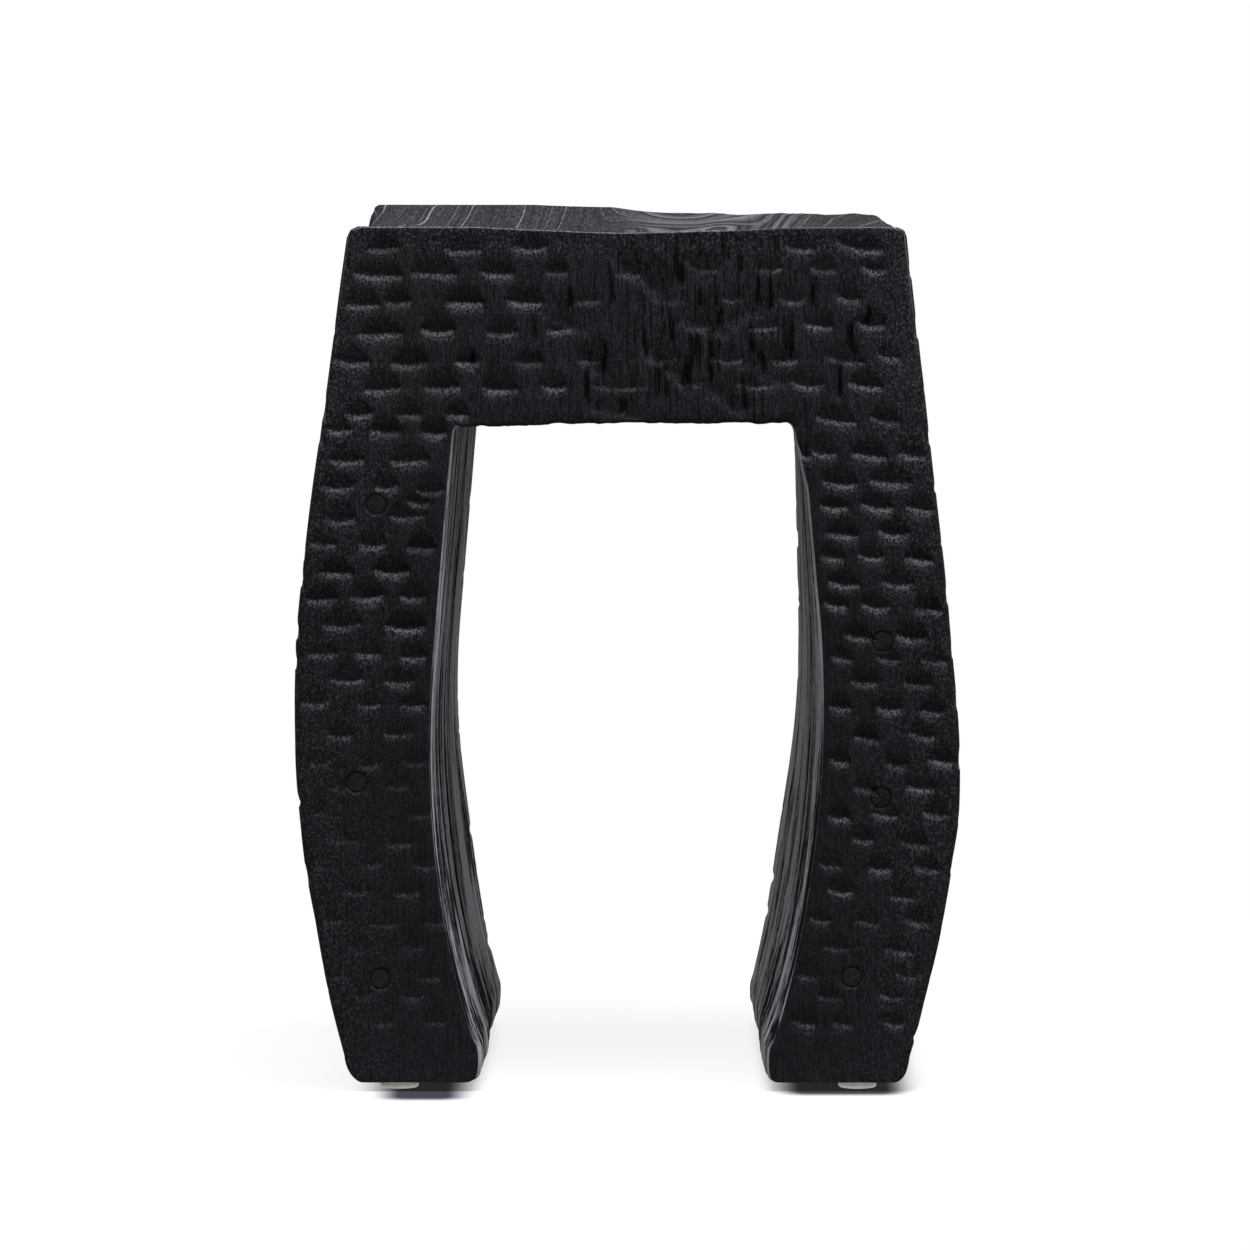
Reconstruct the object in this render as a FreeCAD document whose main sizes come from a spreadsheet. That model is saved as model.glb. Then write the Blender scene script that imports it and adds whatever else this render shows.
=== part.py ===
import FreeCAD, Part
import math
import os
import Sketcher

# Carved portal stool, in millimetres.
# X runs to the right, Y to the back and Z up, seen from the front.
# The origin is on the floor, under the middle of the stool.

# Driving dimensions. Widths are half widths, from the middle of the stool.
SIZES = {
    # the whole stool
    "seat_height": 450,
    "stool_depth": 300,
    "bulge_half_width": 173,
    "apron_height": 102.5,
    "back_narrowing": 4,
    "back_right_drop": 5,
    # outside of the left leg, drawn in from the bulge
    "left_top_draw_in": 28.5,
    "left_toe_draw_in": 26,
    "left_heel_draw_in": 8,
    "left_bulge_height_share": 0.444,
    # tunnel side of the left leg, drawn in from the widest place of the tunnel;
    # the straight run to the knee moves in by a share of what the bow would
    "left_tunnel_half_width": 101,
    "left_knee_draw_in_share": 0.523,
    "left_mouth_draw_in": 2,
    "left_tunnel_toe_draw_in": 23.5,
    "left_sole_draw_out": 7,
    "left_tunnel_height_share": 0.4,
    "left_knee_drop": 21.5,
    "left_tunnel_taper": 8,
    # outside of the right leg
    "right_top_draw_in": 29.5,
    "right_toe_draw_in": 26.5,
    "right_heel_draw_in": 6.5,
    "right_bulge_height_share": 0.367,
    # tunnel side of the right leg
    "right_tunnel_half_width": 99.7,
    "right_knee_draw_in_share": 0.738,
    "right_mouth_draw_in": 8.5,
    "right_tunnel_toe_draw_in": 26.2,
    "right_sole_draw_out": 4.5,
    "right_tunnel_height_share": 0.444,
    "right_knee_drop": 35.5,
    "right_tunnel_taper": 7,
    # tunnel side of the right leg, where the back differs from the front
    "right_back_knee_draw_in_share": 0.3,
    "right_back_mouth_draw_in": 2,
    "right_back_tunnel_height_share": 0.476,
    # rounding of the feet
    "heel_height": 13.5,
    "toe_height": 17.5,
    # dished seat
    "dish_depth": 10,
    "dish_half_width": 142,
    "dish_long_radius": 1600,
    # worn arrises round the front and the back
    "arris_radius": 2.5,
    # glued-up blank: three layers deep, each of a leg, an apron block and a leg
    "front_layer_depth": 96,
    "back_layer_depth": 100,
    "seam_setback": 2.5,
    # dowels right through each leg, from front to back
    "dowel_radius": 5.2,
    "dowel_fit": 0.05,
    "left_upper_dowel_inset": 43,
    "left_middle_dowel_inset": 32.5,
    "left_lower_dowel_inset": 44.5,
    "left_upper_dowel_share": 0.68,
    "left_middle_dowel_share": 0.359,
    "left_lower_dowel_share": 0.131,
    "right_upper_dowel_inset": 41,
    "right_middle_dowel_inset": 41.5,
    "right_lower_dowel_inset": 56.5,
    "right_upper_dowel_share": 0.522,
    "right_middle_dowel_share": 0.341,
    "right_lower_dowel_share": 0.133,
    # hidden pegs between each apron block and its two legs
    "peg_radius": 5,
    "peg_length": 56,
    "peg_spacing": 44,
    "peg_fit": 0.05,
    "peg_end_gap": 0.4,
    # nail-on glides
    "glide_stand": 4.5,
    "glide_radius": 10,
    "glide_edge_round": 1.6,
    "glide_top_bevel": 0.5,
    "glide_inset": 20,
    "glide_setback": 22,
    "nail_radius": 1.1,
    "nail_length": 16,
    "nail_point_length": 3,
    "nail_head_radius": 3.6,
    "nail_head_thickness": 1.2,
    "nail_head_recess": 1.4,
    "nail_fit": 0.05,
    "nail_end_gap": 0.4,
    # how far a cutting tool or a region runs past what it cuts
    "overrun": 20,
}

SIDES = ("left", "right")
OUTWARD = {"left": -1, "right": 1}
FACES = ("front", "back")
LEVELS = ("upper", "middle", "lower")
QUARTER_TURN = 90
FULL_TURN = 360
ON_FACE = 0.001
START, END, CENTRE = range(1, 4)
SKETCH_LEVEL, SKETCH_UPRIGHT = range(-1, -3, -1)
SKETCH_ORIGIN = (SKETCH_LEVEL, START)

doc = FreeCAD.newDocument("CarvedStool")
sheet = doc.addObject("Spreadsheet::Sheet", "Sizes")
for line, (alias, number) in enumerate(SIZES.items(), 1):
    sheet.set(f"A{line}", alias)
    sheet.set(f"B{line}", str(number))
    sheet.setAlias(f"B{line}", alias)
doc.recompute()


class Size:
    """A size worked out from the sheet: its expression, and its value now."""

    def __init__(self, text, value):
        self.text, self.value = text, value

    def joined(self, sign, other, value):
        return Size(f"({self.text} {sign} {other.text})", value)

    def __add__(self, other):
        return self.joined("+", as_size(other), self.value + as_size(other).value)

    def __sub__(self, other):
        return self.joined("-", as_size(other), self.value - as_size(other).value)

    def __mul__(self, other):
        return self.joined("*", as_size(other), self.value * as_size(other).value)

    def __truediv__(self, other):
        return self.joined("/", as_size(other), self.value / as_size(other).value)

    def __neg__(self):
        return self * -1

    def squared(self):
        return self * self


def as_size(number):
    return number if isinstance(number, Size) else Size(f"({number})", number)


def size(alias):
    return Size(f"Sizes.{alias}", float(sheet.get(alias)))


def arc_radius(draw_in, rise):
    """The radius of an arc that moves by draw_in over a rise from its widest place."""
    return (draw_in.squared() + rise.squared()) / (draw_in * 2)


seat_height = size("seat_height")
half_depth = size("stool_depth") / 2
overrun = size("overrun")
sole_height = size("glide_stand")
mouth_height = seat_height - size("apron_height")


# Sketches


def bound(sketch, kind, where, length):
    """Adds a dimension to a sketch and binds it to a size."""
    index = sketch.addConstraint(Sketcher.Constraint(kind, *where, length.value))
    sketch.setExpression(f"Constraints[{index}]", length.text)


def across(sketch, vertex, distance, outward=1):
    """Sets a vertex's distance from the upright axis, on one side of it."""
    ends = (*SKETCH_ORIGIN, *vertex) if outward > 0 else (*vertex, *SKETCH_ORIGIN)
    bound(sketch, "DistanceX", ends, distance)


def up(sketch, vertex, height):
    """Sets a vertex's height above the sketch's origin."""
    bound(sketch, "DistanceY", (*SKETCH_ORIGIN, *vertex), height)


def new_sketch(body, name, offset=None):
    """A sketch on the body's own upright plane, moved towards the front by offset."""
    sketch = body.newObject("Sketcher::SketchObject", name)
    upright = next(plane for plane in body.Origin.OriginFeatures if plane.Role == "XZ_Plane")
    sketch.AttachmentSupport = (upright, [""])
    sketch.MapMode = "FlatFace"
    if offset:
        sketch.setExpression("AttachmentOffset.Base.z", offset.text)
    return sketch


def place(thing, x, y, z):
    """Binds a thing's place and leaves its rotation."""
    for axis, length in zip("xyz", (x, y, z)):
        thing.setExpression(f"Placement.Base.{axis}", length.text)


class LegEdge:
    """One long edge of a leg on one face: a straight run that touches a bow below it."""

    def __init__(self, side, top, top_height, widest, widest_height, toe, toe_height):
        self.outward = OUTWARD[side]
        self.top, self.top_height = top, top_height
        self.widest_height = widest_height
        self.toe, self.toe_height = toe, toe_height
        self.radius = arc_radius(widest - toe, widest_height - toe_height)
        self.centre = self.point(widest - self.radius, widest_height)

    def point(self, distance, height):
        return FreeCAD.Vector(self.outward * distance.value, height.value, 0)

    def ends(self):
        return self.point(self.top, self.top_height), self.point(self.toe, self.toe_height)

    def meeting_point(self):
        """Where the straight run touches the bow."""
        reach = self.ends()[0] - self.centre
        square, radius = reach.Length**2, self.radius.value
        foot = self.centre + reach * (radius**2 / square)
        beside = FreeCAD.Vector(reach.y, -reach.x, 0) * (radius * (square - radius**2) ** 0.5 / square)
        return min(foot + beside, foot - beside, key=lambda point: point.y)

    def bow(self):
        """The bow, counterclockwise, so that it starts at the toe on the right side."""
        circle = Part.Circle(self.centre, FreeCAD.Vector(0, 0, 1), self.radius.value)
        meeting, toe = (circle.parameter(point) for point in (self.meeting_point(), self.ends()[1]))
        if self.outward < 0:
            return Part.ArcOfCircle(circle, meeting, toe)
        return Part.ArcOfCircle(circle, toe - math.tau, meeting)


def face_size(side, face, name):
    """A leg's own size on one face, or else the size that both of its faces share."""
    own = f"{side}_{face}_{name}"
    return size(own if own in SIZES else f"{side}_{name}")


def leg_edges(side, face):
    """The outer and the tunnel edge of a leg, and how far out its sole and the mouth are."""
    narrowing = size("back_narrowing") if face == "back" else as_size(0)
    taper = size(f"{side}_tunnel_taper") if face == "back" else as_size(0)
    drop = size("back_right_drop") if (side, face) == ("right", "back") else as_size(0)
    bulge = size("bulge_half_width") - narrowing
    tunnel = size(f"{side}_tunnel_half_width") - taper
    heel = bulge - size(f"{side}_toe_draw_in")
    toe_draw_in = size(f"{side}_tunnel_toe_draw_in")
    toe, toe_height = tunnel - toe_draw_in, sole_height + size("toe_height")
    widest_height = seat_height * face_size(side, face, "tunnel_height_share")
    knee_height = mouth_height - size(f"{side}_knee_drop")
    rises = (knee_height - widest_height) / (widest_height - toe_height)
    knee = tunnel - toe_draw_in * rises.squared() * face_size(side, face, "knee_draw_in_share")
    outer = LegEdge(
        side,
        bulge - size(f"{side}_top_draw_in"),
        seat_height - drop,
        bulge,
        seat_height * size(f"{side}_bulge_height_share"),
        heel,
        sole_height + size("heel_height"),
    )
    inner = LegEdge(side, knee, knee_height, tunnel, widest_height, toe, toe_height)
    sole = heel - size(f"{side}_heel_draw_in"), toe + size(f"{side}_sole_draw_out")
    return outer, inner, sole, knee - face_size(side, face, "mouth_draw_in")


def draw_leg(sketch, side, face):
    """Draws one leg's outline and returns its two ends, at the seat and at the mouth."""
    outer, inner, (sole_outer, sole_inner), mouth = leg_edges(side, face)
    outer_top, heel = outer.ends()
    knee, toe = inner.ends()
    sole_ends = outer.point(sole_outer, sole_height), outer.point(sole_inner, sole_height)

    def straight(start, end):
        return sketch.addGeometry(Part.LineSegment(start, end))

    outer_run = straight(outer_top, outer.meeting_point())
    outer_bow = sketch.addGeometry(outer.bow())
    heel_round = straight(heel, sole_ends[0])
    sole = straight(*sole_ends)
    toe_round = straight(sole_ends[1], toe)
    inner_bow = sketch.addGeometry(inner.bow())
    inner_run = straight(inner.meeting_point(), knee)
    throat = straight(knee, inner.point(mouth, mouth_height))

    upper, lower = (START, END) if OUTWARD[side] < 0 else (END, START)
    sketch.addConstraint(
        [
            Sketcher.Constraint("Tangent", outer_run, END, outer_bow, upper),
            Sketcher.Constraint("Coincident", outer_bow, lower, heel_round, START),
            Sketcher.Constraint("Coincident", heel_round, END, sole, START),
            Sketcher.Constraint("Coincident", sole, END, toe_round, START),
            Sketcher.Constraint("Coincident", toe_round, END, inner_bow, lower),
            Sketcher.Constraint("Tangent", inner_bow, upper, inner_run, START),
            Sketcher.Constraint("Coincident", inner_run, END, throat, START),
        ]
    )
    for edge, top_vertex, bow in (
        (outer, (outer_run, START), outer_bow),
        (inner, (inner_run, END), inner_bow),
    ):
        across(sketch, top_vertex, edge.top, edge.outward)
        up(sketch, top_vertex, edge.top_height)
        across(sketch, (bow, lower), edge.toe, edge.outward)
        up(sketch, (bow, lower), edge.toe_height)
        up(sketch, (bow, CENTRE), edge.widest_height)
        bound(sketch, "Radius", (bow,), edge.radius)
    for vertex, distance, height in (
        ((sole, START), sole_outer, sole_height),
        ((sole, END), sole_inner, sole_height),
        ((throat, END), mouth, mouth_height),
    ):
        across(sketch, vertex, distance, outer.outward)
        up(sketch, vertex, height)
    return (outer_run, START), (throat, END)


def draw_portal(body, face):
    """The whole outline of the stool on its front or its back."""
    sketch = new_sketch(body, f"{face.title()}Outline", half_depth if face == "front" else -half_depth)
    left_seat, left_mouth = draw_leg(sketch, "left", face)
    right_seat, right_mouth = draw_leg(sketch, "right", face)
    for left_end, right_end in ((left_mouth, right_mouth), (left_seat, right_seat)):
        span = Part.LineSegment(sketch.getPoint(*left_end), sketch.getPoint(*right_end))
        joining = sketch.addGeometry(span)
        sketch.addConstraint(Sketcher.Constraint("Coincident", joining, START, *left_end))
        sketch.addConstraint(Sketcher.Constraint("Coincident", joining, END, *right_end))
    return sketch


def draw_dish(body):
    """The section of the seat's hollow, and the long axis above it that it turns about."""
    sketch = new_sketch(body, "DishSection")
    half_width, depth = size("dish_half_width"), size("dish_depth")
    radius = arc_radius(depth, half_width)
    lowest, reach, roof = seat_height - depth, half_width + overrun * 2, seat_height + overrun * 2
    rim = (lowest + radius).value - (radius.value**2 - reach.value**2) ** 0.5
    wide, deep, high = reach.value, lowest.value, roof.value
    corners = [FreeCAD.Vector(*at, 0) for at in ((-wide, rim), (wide, rim), (wide, high), (-wide, high))]
    hollow = sketch.addGeometry(Part.Arc(corners[0], FreeCAD.Vector(0, deep, 0), corners[1]))
    right_wall, top, left_wall = (
        sketch.addGeometry(Part.LineSegment(start, end))
        for start, end in zip(corners[1:], corners[2:] + corners[:1])
    )
    centre = FreeCAD.Vector(0, (lowest + size("dish_long_radius")).value, 0)
    axis = sketch.addGeometry(Part.LineSegment(centre, centre + FreeCAD.Vector(wide, 0, 0)), True)
    sketch.addConstraint(
        [
            Sketcher.Constraint("Coincident", hollow, END, right_wall, START),
            Sketcher.Constraint("Coincident", right_wall, END, top, START),
            Sketcher.Constraint("Coincident", top, END, left_wall, START),
            Sketcher.Constraint("Coincident", left_wall, END, hollow, START),
            Sketcher.Constraint("Vertical", right_wall),
            Sketcher.Constraint("Horizontal", top),
            Sketcher.Constraint("Vertical", left_wall),
            Sketcher.Constraint("PointOnObject", hollow, CENTRE, SKETCH_UPRIGHT),
            Sketcher.Constraint("Horizontal", axis),
            Sketcher.Constraint("PointOnObject", axis, START, SKETCH_UPRIGHT),
        ]
    )
    bound(sketch, "Radius", (hollow,), radius)
    up(sketch, (hollow, CENTRE), lowest + radius)
    across(sketch, (right_wall, START), reach)
    across(sketch, (left_wall, START), reach, outward=-1)
    up(sketch, (top, END), roof)
    up(sketch, (axis, START), lowest + size("dish_long_radius"))
    across(sketch, (axis, END), reach)
    return sketch


# Carved form: the outside of the whole stool, before it is divided into its blocks


def arrises(shape):
    """The names of the edges round the front and the back, and of the two long top corners."""
    lowest_corner = (seat_height - size("back_right_drop")).value
    names = []
    for index, edge in enumerate(shape.Edges, 1):
        first, last = edge.Vertexes[0].Point, edge.Vertexes[-1].Point
        ends_on_faces = all(abs(abs(end.y) - half_depth.value) < ON_FACE for end in (first, last))
        round_a_face = ends_on_faces and first.y * last.y > 0
        long_corner = ends_on_faces and min(first.z, last.z) > lowest_corner - ON_FACE
        if round_a_face or long_corner:
            names.append(f"Edge{index}")
    return names


carved = doc.addObject("PartDesign::Body", "CarvedForm")
front_outline = draw_portal(carved, "front")
back_outline = draw_portal(carved, "back")
portal = carved.newObject("PartDesign::AdditiveLoft", "Portal")
portal.Profile = back_outline
portal.Sections = [front_outline]
portal.Ruled = True
doc.recompute()

worn = carved.newObject("PartDesign::Fillet", "WornArrises")
worn.Base = (portal, arrises(portal.Shape))
worn.setExpression("Radius", size("arris_radius").text)

dish_section = draw_dish(carved)
dish = carved.newObject("PartDesign::Groove", "Dish")
dish.Profile = dish_section
dish.ReferenceAxis = (dish_section, ["Axis0"])
dish.Midplane = True
least_dish_radius = size("dish_long_radius") - size("dish_depth") - overrun * 2
dish.setExpression("Angle", f"2 * asin({((half_depth + overrun) / least_dish_radius).text})")
doc.recompute()
carved.Tip = dish


# Cylinders, for dowels and pegs and for the bores that they sit in


def cylinder(name, radius, length, turn):
    """A cylinder that starts at its place and runs along the turned Z axis."""
    rod = doc.addObject("Part::Cylinder", name)
    rod.setExpression("Radius", radius.text)
    rod.setExpression("Height", length.text)
    rod.Placement = FreeCAD.Placement(FreeCAD.Vector(), turn)
    return rod


ALONG_X = FreeCAD.Rotation(FreeCAD.Vector(0, 1, 0), QUARTER_TURN)
ALONG_Y = FreeCAD.Rotation(FreeCAD.Vector(1, 0, 0), -QUARTER_TURN)
UPRIGHT = FreeCAD.Rotation()

node_shapes = {}
bores = []


def leg_dowel(side, level):
    """A dowel from the front face to the back face of one leg, and its bore."""
    name = f"{side}_{level}_dowel"
    inset = size("bulge_half_width") - size(f"{name}_inset")
    x, z = inset * OUTWARD[side], seat_height * size(f"{name}_share")
    dowel = cylinder(name, size("dowel_radius"), half_depth * 2, ALONG_Y)
    place(dowel, x, -half_depth, z)
    bore_radius = size("dowel_radius") + size("dowel_fit")
    bore = cylinder(f"{name}_bore", bore_radius, (half_depth + overrun) * 2, ALONG_Y)
    place(bore, x, -half_depth - overrun, z)
    bores.append(bore)
    node_shapes[name] = dowel


for side in SIDES:
    for level in LEVELS:
        leg_dowel(side, level)


# Layers and seams of the blank

front_seam = -half_depth + size("front_layer_depth")
back_seam = half_depth - size("back_layer_depth")
LAYERS = {
    "front": (-half_depth - overrun, front_seam),
    "middle": (front_seam, back_seam),
    "back": (back_seam, half_depth + overrun),
}
LAYER_MIDDLES = {
    "front": (front_seam - half_depth) / 2,
    "middle": (front_seam + back_seam) / 2,
    "back": (back_seam + half_depth) / 2,
}


def seam_across(side):
    """How far out the glue line between the apron and a leg is: just inside the leg's toe."""
    narrowest = size(f"{side}_tunnel_half_width") - size(f"{side}_tunnel_taper")
    return narrowest - size(f"{side}_tunnel_toe_draw_in") - size("seam_setback")


def seam_pegs(layer, side):
    """Two pegs across one glue line, in bores a little longer than they are."""
    name = f"{layer}_{side}_pegs"
    middle_height = (mouth_height + seat_height - size("dish_depth")) / 2
    length, end_gap, x = size("peg_length"), size("peg_end_gap"), seam_across(side) * OUTWARD[side]
    pegs = []
    for part, offset in (("lower", -size("peg_spacing") / 2), ("upper", size("peg_spacing") / 2)):
        peg = cylinder(f"{layer}_{side}_{part}_peg", size("peg_radius"), length, ALONG_X)
        place(peg, x - length / 2, LAYER_MIDDLES[layer], middle_height + offset)
        bore_radius = size("peg_radius") + size("peg_fit")
        bore = cylinder(f"{layer}_{side}_{part}_peg_bore", bore_radius, length + end_gap * 2, ALONG_X)
        place(bore, x - length / 2 - end_gap, LAYER_MIDDLES[layer], middle_height + offset)
        pegs.append(peg)
        bores.append(bore)
    pair = doc.addObject("Part::Compound", name)
    pair.Links = pegs
    node_shapes[name] = pair


for layer in LAYERS:
    for side in SIDES:
        seam_pegs(layer, side)


# Glides with their nails


def turned_body(name, points, rounded=None):
    """A body turned about its own upright axis from a closed outline of sizes.

    The corner at index rounded is an arc whose radius is the step to its neighbours.
    """
    body = doc.addObject("PartDesign::Body", name)
    sketch = new_sketch(body, f"{name}_outline")
    vectors = [FreeCAD.Vector(x.value, z.value, 0) for x, z in points]
    count = len(points)
    lines = []
    for index in range(count):
        start, end = vectors[index], vectors[(index + 1) % count]
        if index == rounded:
            centre = FreeCAD.Vector(end.x, start.y, 0)
            circle = Part.Circle(centre, FreeCAD.Vector(0, 0, 1), (start - centre).Length)
            arc = Part.ArcOfCircle(circle, circle.parameter(end), circle.parameter(start) + math.tau)
            lines.append(sketch.addGeometry(arc))
        else:
            lines.append(sketch.addGeometry(Part.LineSegment(start, end)))
    for index in range(count):
        following = (index + 1) % count
        leaves, enters = (START if index == rounded else END), (END if following == rounded else START)
        sketch.addConstraint(
            Sketcher.Constraint("Coincident", lines[index], leaves, lines[following], enters)
        )
    for index, (x, z) in enumerate(points):
        vertex = (lines[index], END if index == rounded else START)
        if x.value:
            across(sketch, vertex, x)
        else:
            sketch.addConstraint(Sketcher.Constraint("PointOnObject", *vertex, SKETCH_UPRIGHT))
        up(sketch, vertex, z)
    if rounded is not None:
        bound(sketch, "Radius", (lines[rounded],), points[rounded][1] - points[rounded + 1][1])
    turned = body.newObject("PartDesign::Revolution", f"{name}_turned")
    turned.Profile = sketch
    turned.ReferenceAxis = (sketch, ["V_Axis"])
    turned.Angle = FULL_TURN
    return body


floor_level = as_size(0)
head_top = size("nail_head_recess") + size("nail_head_thickness")
nail_top = size("nail_head_recess") + size("nail_length")
well_radius = size("nail_head_radius") + size("nail_fit")
hole_radius = size("nail_radius") + size("nail_fit")

GLIDE_OUTLINE = [
    (hole_radius, head_top),
    (hole_radius, sole_height),
    (size("glide_radius") - size("glide_top_bevel"), sole_height),
    (size("glide_radius"), sole_height - size("glide_top_bevel")),
    (size("glide_radius"), size("glide_edge_round")),
    (size("glide_radius") - size("glide_edge_round"), floor_level),
    (well_radius, floor_level),
    (well_radius, head_top),
]
GLIDE_ROUNDED_CORNER = 4
NAIL_OUTLINE = [
    (floor_level, size("nail_head_recess")),
    (size("nail_head_radius"), size("nail_head_recess")),
    (size("nail_head_radius"), head_top),
    (size("nail_radius"), head_top),
    (size("nail_radius"), nail_top - size("nail_point_length")),
    (floor_level, nail_top),
]


def glide(face, side):
    """A glide under one end of a leg, its nail, and the nail's hole in the leg."""
    name = f"{face}_{side}_glide"
    sole_outer = size("bulge_half_width") - size(f"{side}_toe_draw_in") - size(f"{side}_heel_draw_in")
    x = (sole_outer - size("glide_inset")) * OUTWARD[side]
    from_middle = half_depth - size("glide_setback")
    y = -from_middle if face == "front" else from_middle
    pad = turned_body(name, GLIDE_OUTLINE, GLIDE_ROUNDED_CORNER)
    nail = turned_body(f"{name}_nail", NAIL_OUTLINE)
    hole = cylinder(f"{name}_hole", hole_radius, nail_top - head_top + size("nail_end_gap"), UPRIGHT)
    for thing, height in ((pad, floor_level), (nail, floor_level), (hole, head_top)):
        place(thing, x, y, height)
    bores.append(hole)
    node_shapes[name] = pad
    node_shapes[f"{name}_nail"] = nail


for face in FACES:
    for side in SIDES:
        glide(face, side)


# Blocks: the carved form with its bores, divided at the seams

all_bores = doc.addObject("Part::Compound", "AllBores")
all_bores.Links = bores
bored = doc.addObject("Part::Cut", "BoredForm")
bored.Base, bored.Tool = carved, all_bores

outermost = size("bulge_half_width") + overrun
COLUMNS = {
    "left_leg": (-outermost, -seam_across("left")),
    "apron": (-seam_across("left"), seam_across("right")),
    "right_leg": (seam_across("right"), outermost),
}


def block(layer, column):
    """What one board of the blank keeps of the carved form."""
    name = f"{layer}_{column}"
    (left, right), (near, far) = COLUMNS[column], LAYERS[layer]
    region = doc.addObject("Part::Box", f"{name}_region")
    region.setExpression("Length", (right - left).text)
    region.setExpression("Width", (far - near).text)
    region.setExpression("Height", (seat_height + overrun * 2).text)
    place(region, left, near, -overrun)
    board = doc.addObject("Part::Common", name)
    board.Base, board.Tool = bored, region
    node_shapes[name] = board


for layer in LAYERS:
    for column in COLUMNS:
        block(layer, column)

doc.recompute()


# Checks and files

for thing in doc.Objects:
    if "Invalid" in thing.State or "Error" in thing.State:
        raise RuntimeError(f"{thing.Name} failed: {thing.State}")

SOLIDS_IN_PEGS = 2
for name, thing in node_shapes.items():
    thing.Label = name
    expected = SOLIDS_IN_PEGS if name.endswith("_pegs") else 1
    if thing.Shape.isNull() or not thing.Shape.isValid() or len(thing.Shape.Solids) != expected:
        raise RuntimeError(f"{name} has no sound solid")

os.makedirs("parts", exist_ok=True)
for name, thing in node_shapes.items():
    thing.Shape.exportStep(f"parts/{name}.step")

blocks = [thing.Shape.Volume for name, thing in node_shapes.items() if name.endswith(("_leg", "_apron"))]
print("nodes", len(node_shapes))
print("dish volume", round(worn.Shape.Volume - dish.Shape.Volume))
print("blocks together", round(sum(blocks)), "bored form", round(bored.Shape.Volume))
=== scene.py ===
import math

import bpy
import numpy as np
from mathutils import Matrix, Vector, geometry


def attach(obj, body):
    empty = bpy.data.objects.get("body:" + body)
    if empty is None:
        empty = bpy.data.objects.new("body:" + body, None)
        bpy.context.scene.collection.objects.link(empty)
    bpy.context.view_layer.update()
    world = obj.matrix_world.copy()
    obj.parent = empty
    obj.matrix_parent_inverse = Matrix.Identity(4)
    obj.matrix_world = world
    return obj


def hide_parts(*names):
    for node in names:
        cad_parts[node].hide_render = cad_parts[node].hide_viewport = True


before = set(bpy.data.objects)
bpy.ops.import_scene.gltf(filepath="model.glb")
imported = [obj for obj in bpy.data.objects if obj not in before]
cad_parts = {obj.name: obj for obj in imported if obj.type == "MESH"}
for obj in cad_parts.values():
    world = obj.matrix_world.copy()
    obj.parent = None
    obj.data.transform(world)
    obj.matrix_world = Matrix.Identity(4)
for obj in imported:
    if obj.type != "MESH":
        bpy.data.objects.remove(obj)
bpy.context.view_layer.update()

# Carved portal stool. All shapes are worked out in millimetres and made in metres.
MM = 0.001
SOLE, MOUTH, SEAT, HALF_DEPTH = 4.5, 347.5, 450.0, 150.0

# Outlines of the front, as half widths and heights; the back is narrower
LEFT = dict(
    top=144.5, bulge=173.0, bulge_z=199.8, heel=147.0, heel_z=18.0, sole_out=139.0,
    knee=90.5, knee_z=326.0, tunnel=101.0, tunnel_z=180.0, toe=77.5, toe_z=22.0, sole_in=84.5,
    mouth=88.5, taper=8.0, seam=67.0,
)
RIGHT = dict(
    top=143.5, bulge=173.0, bulge_z=165.15, heel=146.5, heel_z=18.0, sole_out=140.0,
    knee=92.0, knee_z=312.0, tunnel=99.7, tunnel_z=199.8, toe=73.5, toe_z=22.0, sole_in=78.0,
    mouth=83.5, taper=7.0, seam=65.0, back_knee=97.7, back_tunnel_z=214.2, back_mouth=95.7,
)
BACK_NARROWING = 4.0
BACK_DROP = 5.0
SEAMS_Y = (-54.0, 50.0)

# Grid lines of the form: columns from left to right, rows from sole to seat, layers from front to back
LEG, LEFT_THROAT, APRON, RIGHT_THROAT = 66, 16, 115, 15
I_IN_L, I_SEAM_L = LEG, LEG + LEFT_THROAT
I_SEAM_R = I_SEAM_L + APRON
I_IN_R = I_SEAM_R + RIGHT_THROAT
NI = I_IN_R + LEG
K_MOUTH, NK = 298, 387
J_SEAMS, NJ = (84, 174), 258

# Dowels and pegs
DOWELS = {
    "left_upper_dowel": (-130.0, 306.0),
    "left_middle_dowel": (-140.5, 161.55),
    "left_lower_dowel": (-128.5, 58.95),
    "right_upper_dowel": (132.0, 234.9),
    "right_middle_dowel": (131.5, 153.45),
    "right_lower_dowel": (116.5, 59.85),
}
DOWEL_R, PEG_R, PEG_HALF = 5.2, 5.0, 28.0
DOWEL_BORE_R, PEG_BORE_R, PEG_END_GAP = DOWEL_R + 0.12, PEG_R + 0.05, 0.4
PEG_Y = {"front": -102.0, "middle": -2.0, "back": 100.0}
PEG_Z = (371.75, 415.75)
GLIDES = {"left": -119.0, "right": 120.0}
GLIDE_Y, NAIL_BORE_R, NAIL_BORE_TOP = 128.0, 1.15, 17.8
FACE_SIGNS = {"front": -1, "back": 1}


# Noise and shaping


def table(seed):
    return np.random.default_rng(seed).uniform(-1, 1, (256, 256))


def noise(u, v, seed):
    """Smooth value noise between about -1 and 1, one lump for each unit of u and v."""
    grid = table(seed)
    iu, iv = np.floor(u).astype(int), np.floor(v).astype(int)
    fu, fv = u - iu, v - iv
    fu, fv = fu * fu * (3 - 2 * fu), fv * fv * (3 - 2 * fv)
    a, b = grid[iu % 256, iv % 256], grid[(iu + 1) % 256, iv % 256]
    c, d = grid[iu % 256, (iv + 1) % 256], grid[(iu + 1) % 256, (iv + 1) % 256]
    return (a * (1 - fu) + b * fu) * (1 - fv) + (c * (1 - fu) + d * fu) * fv


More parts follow.
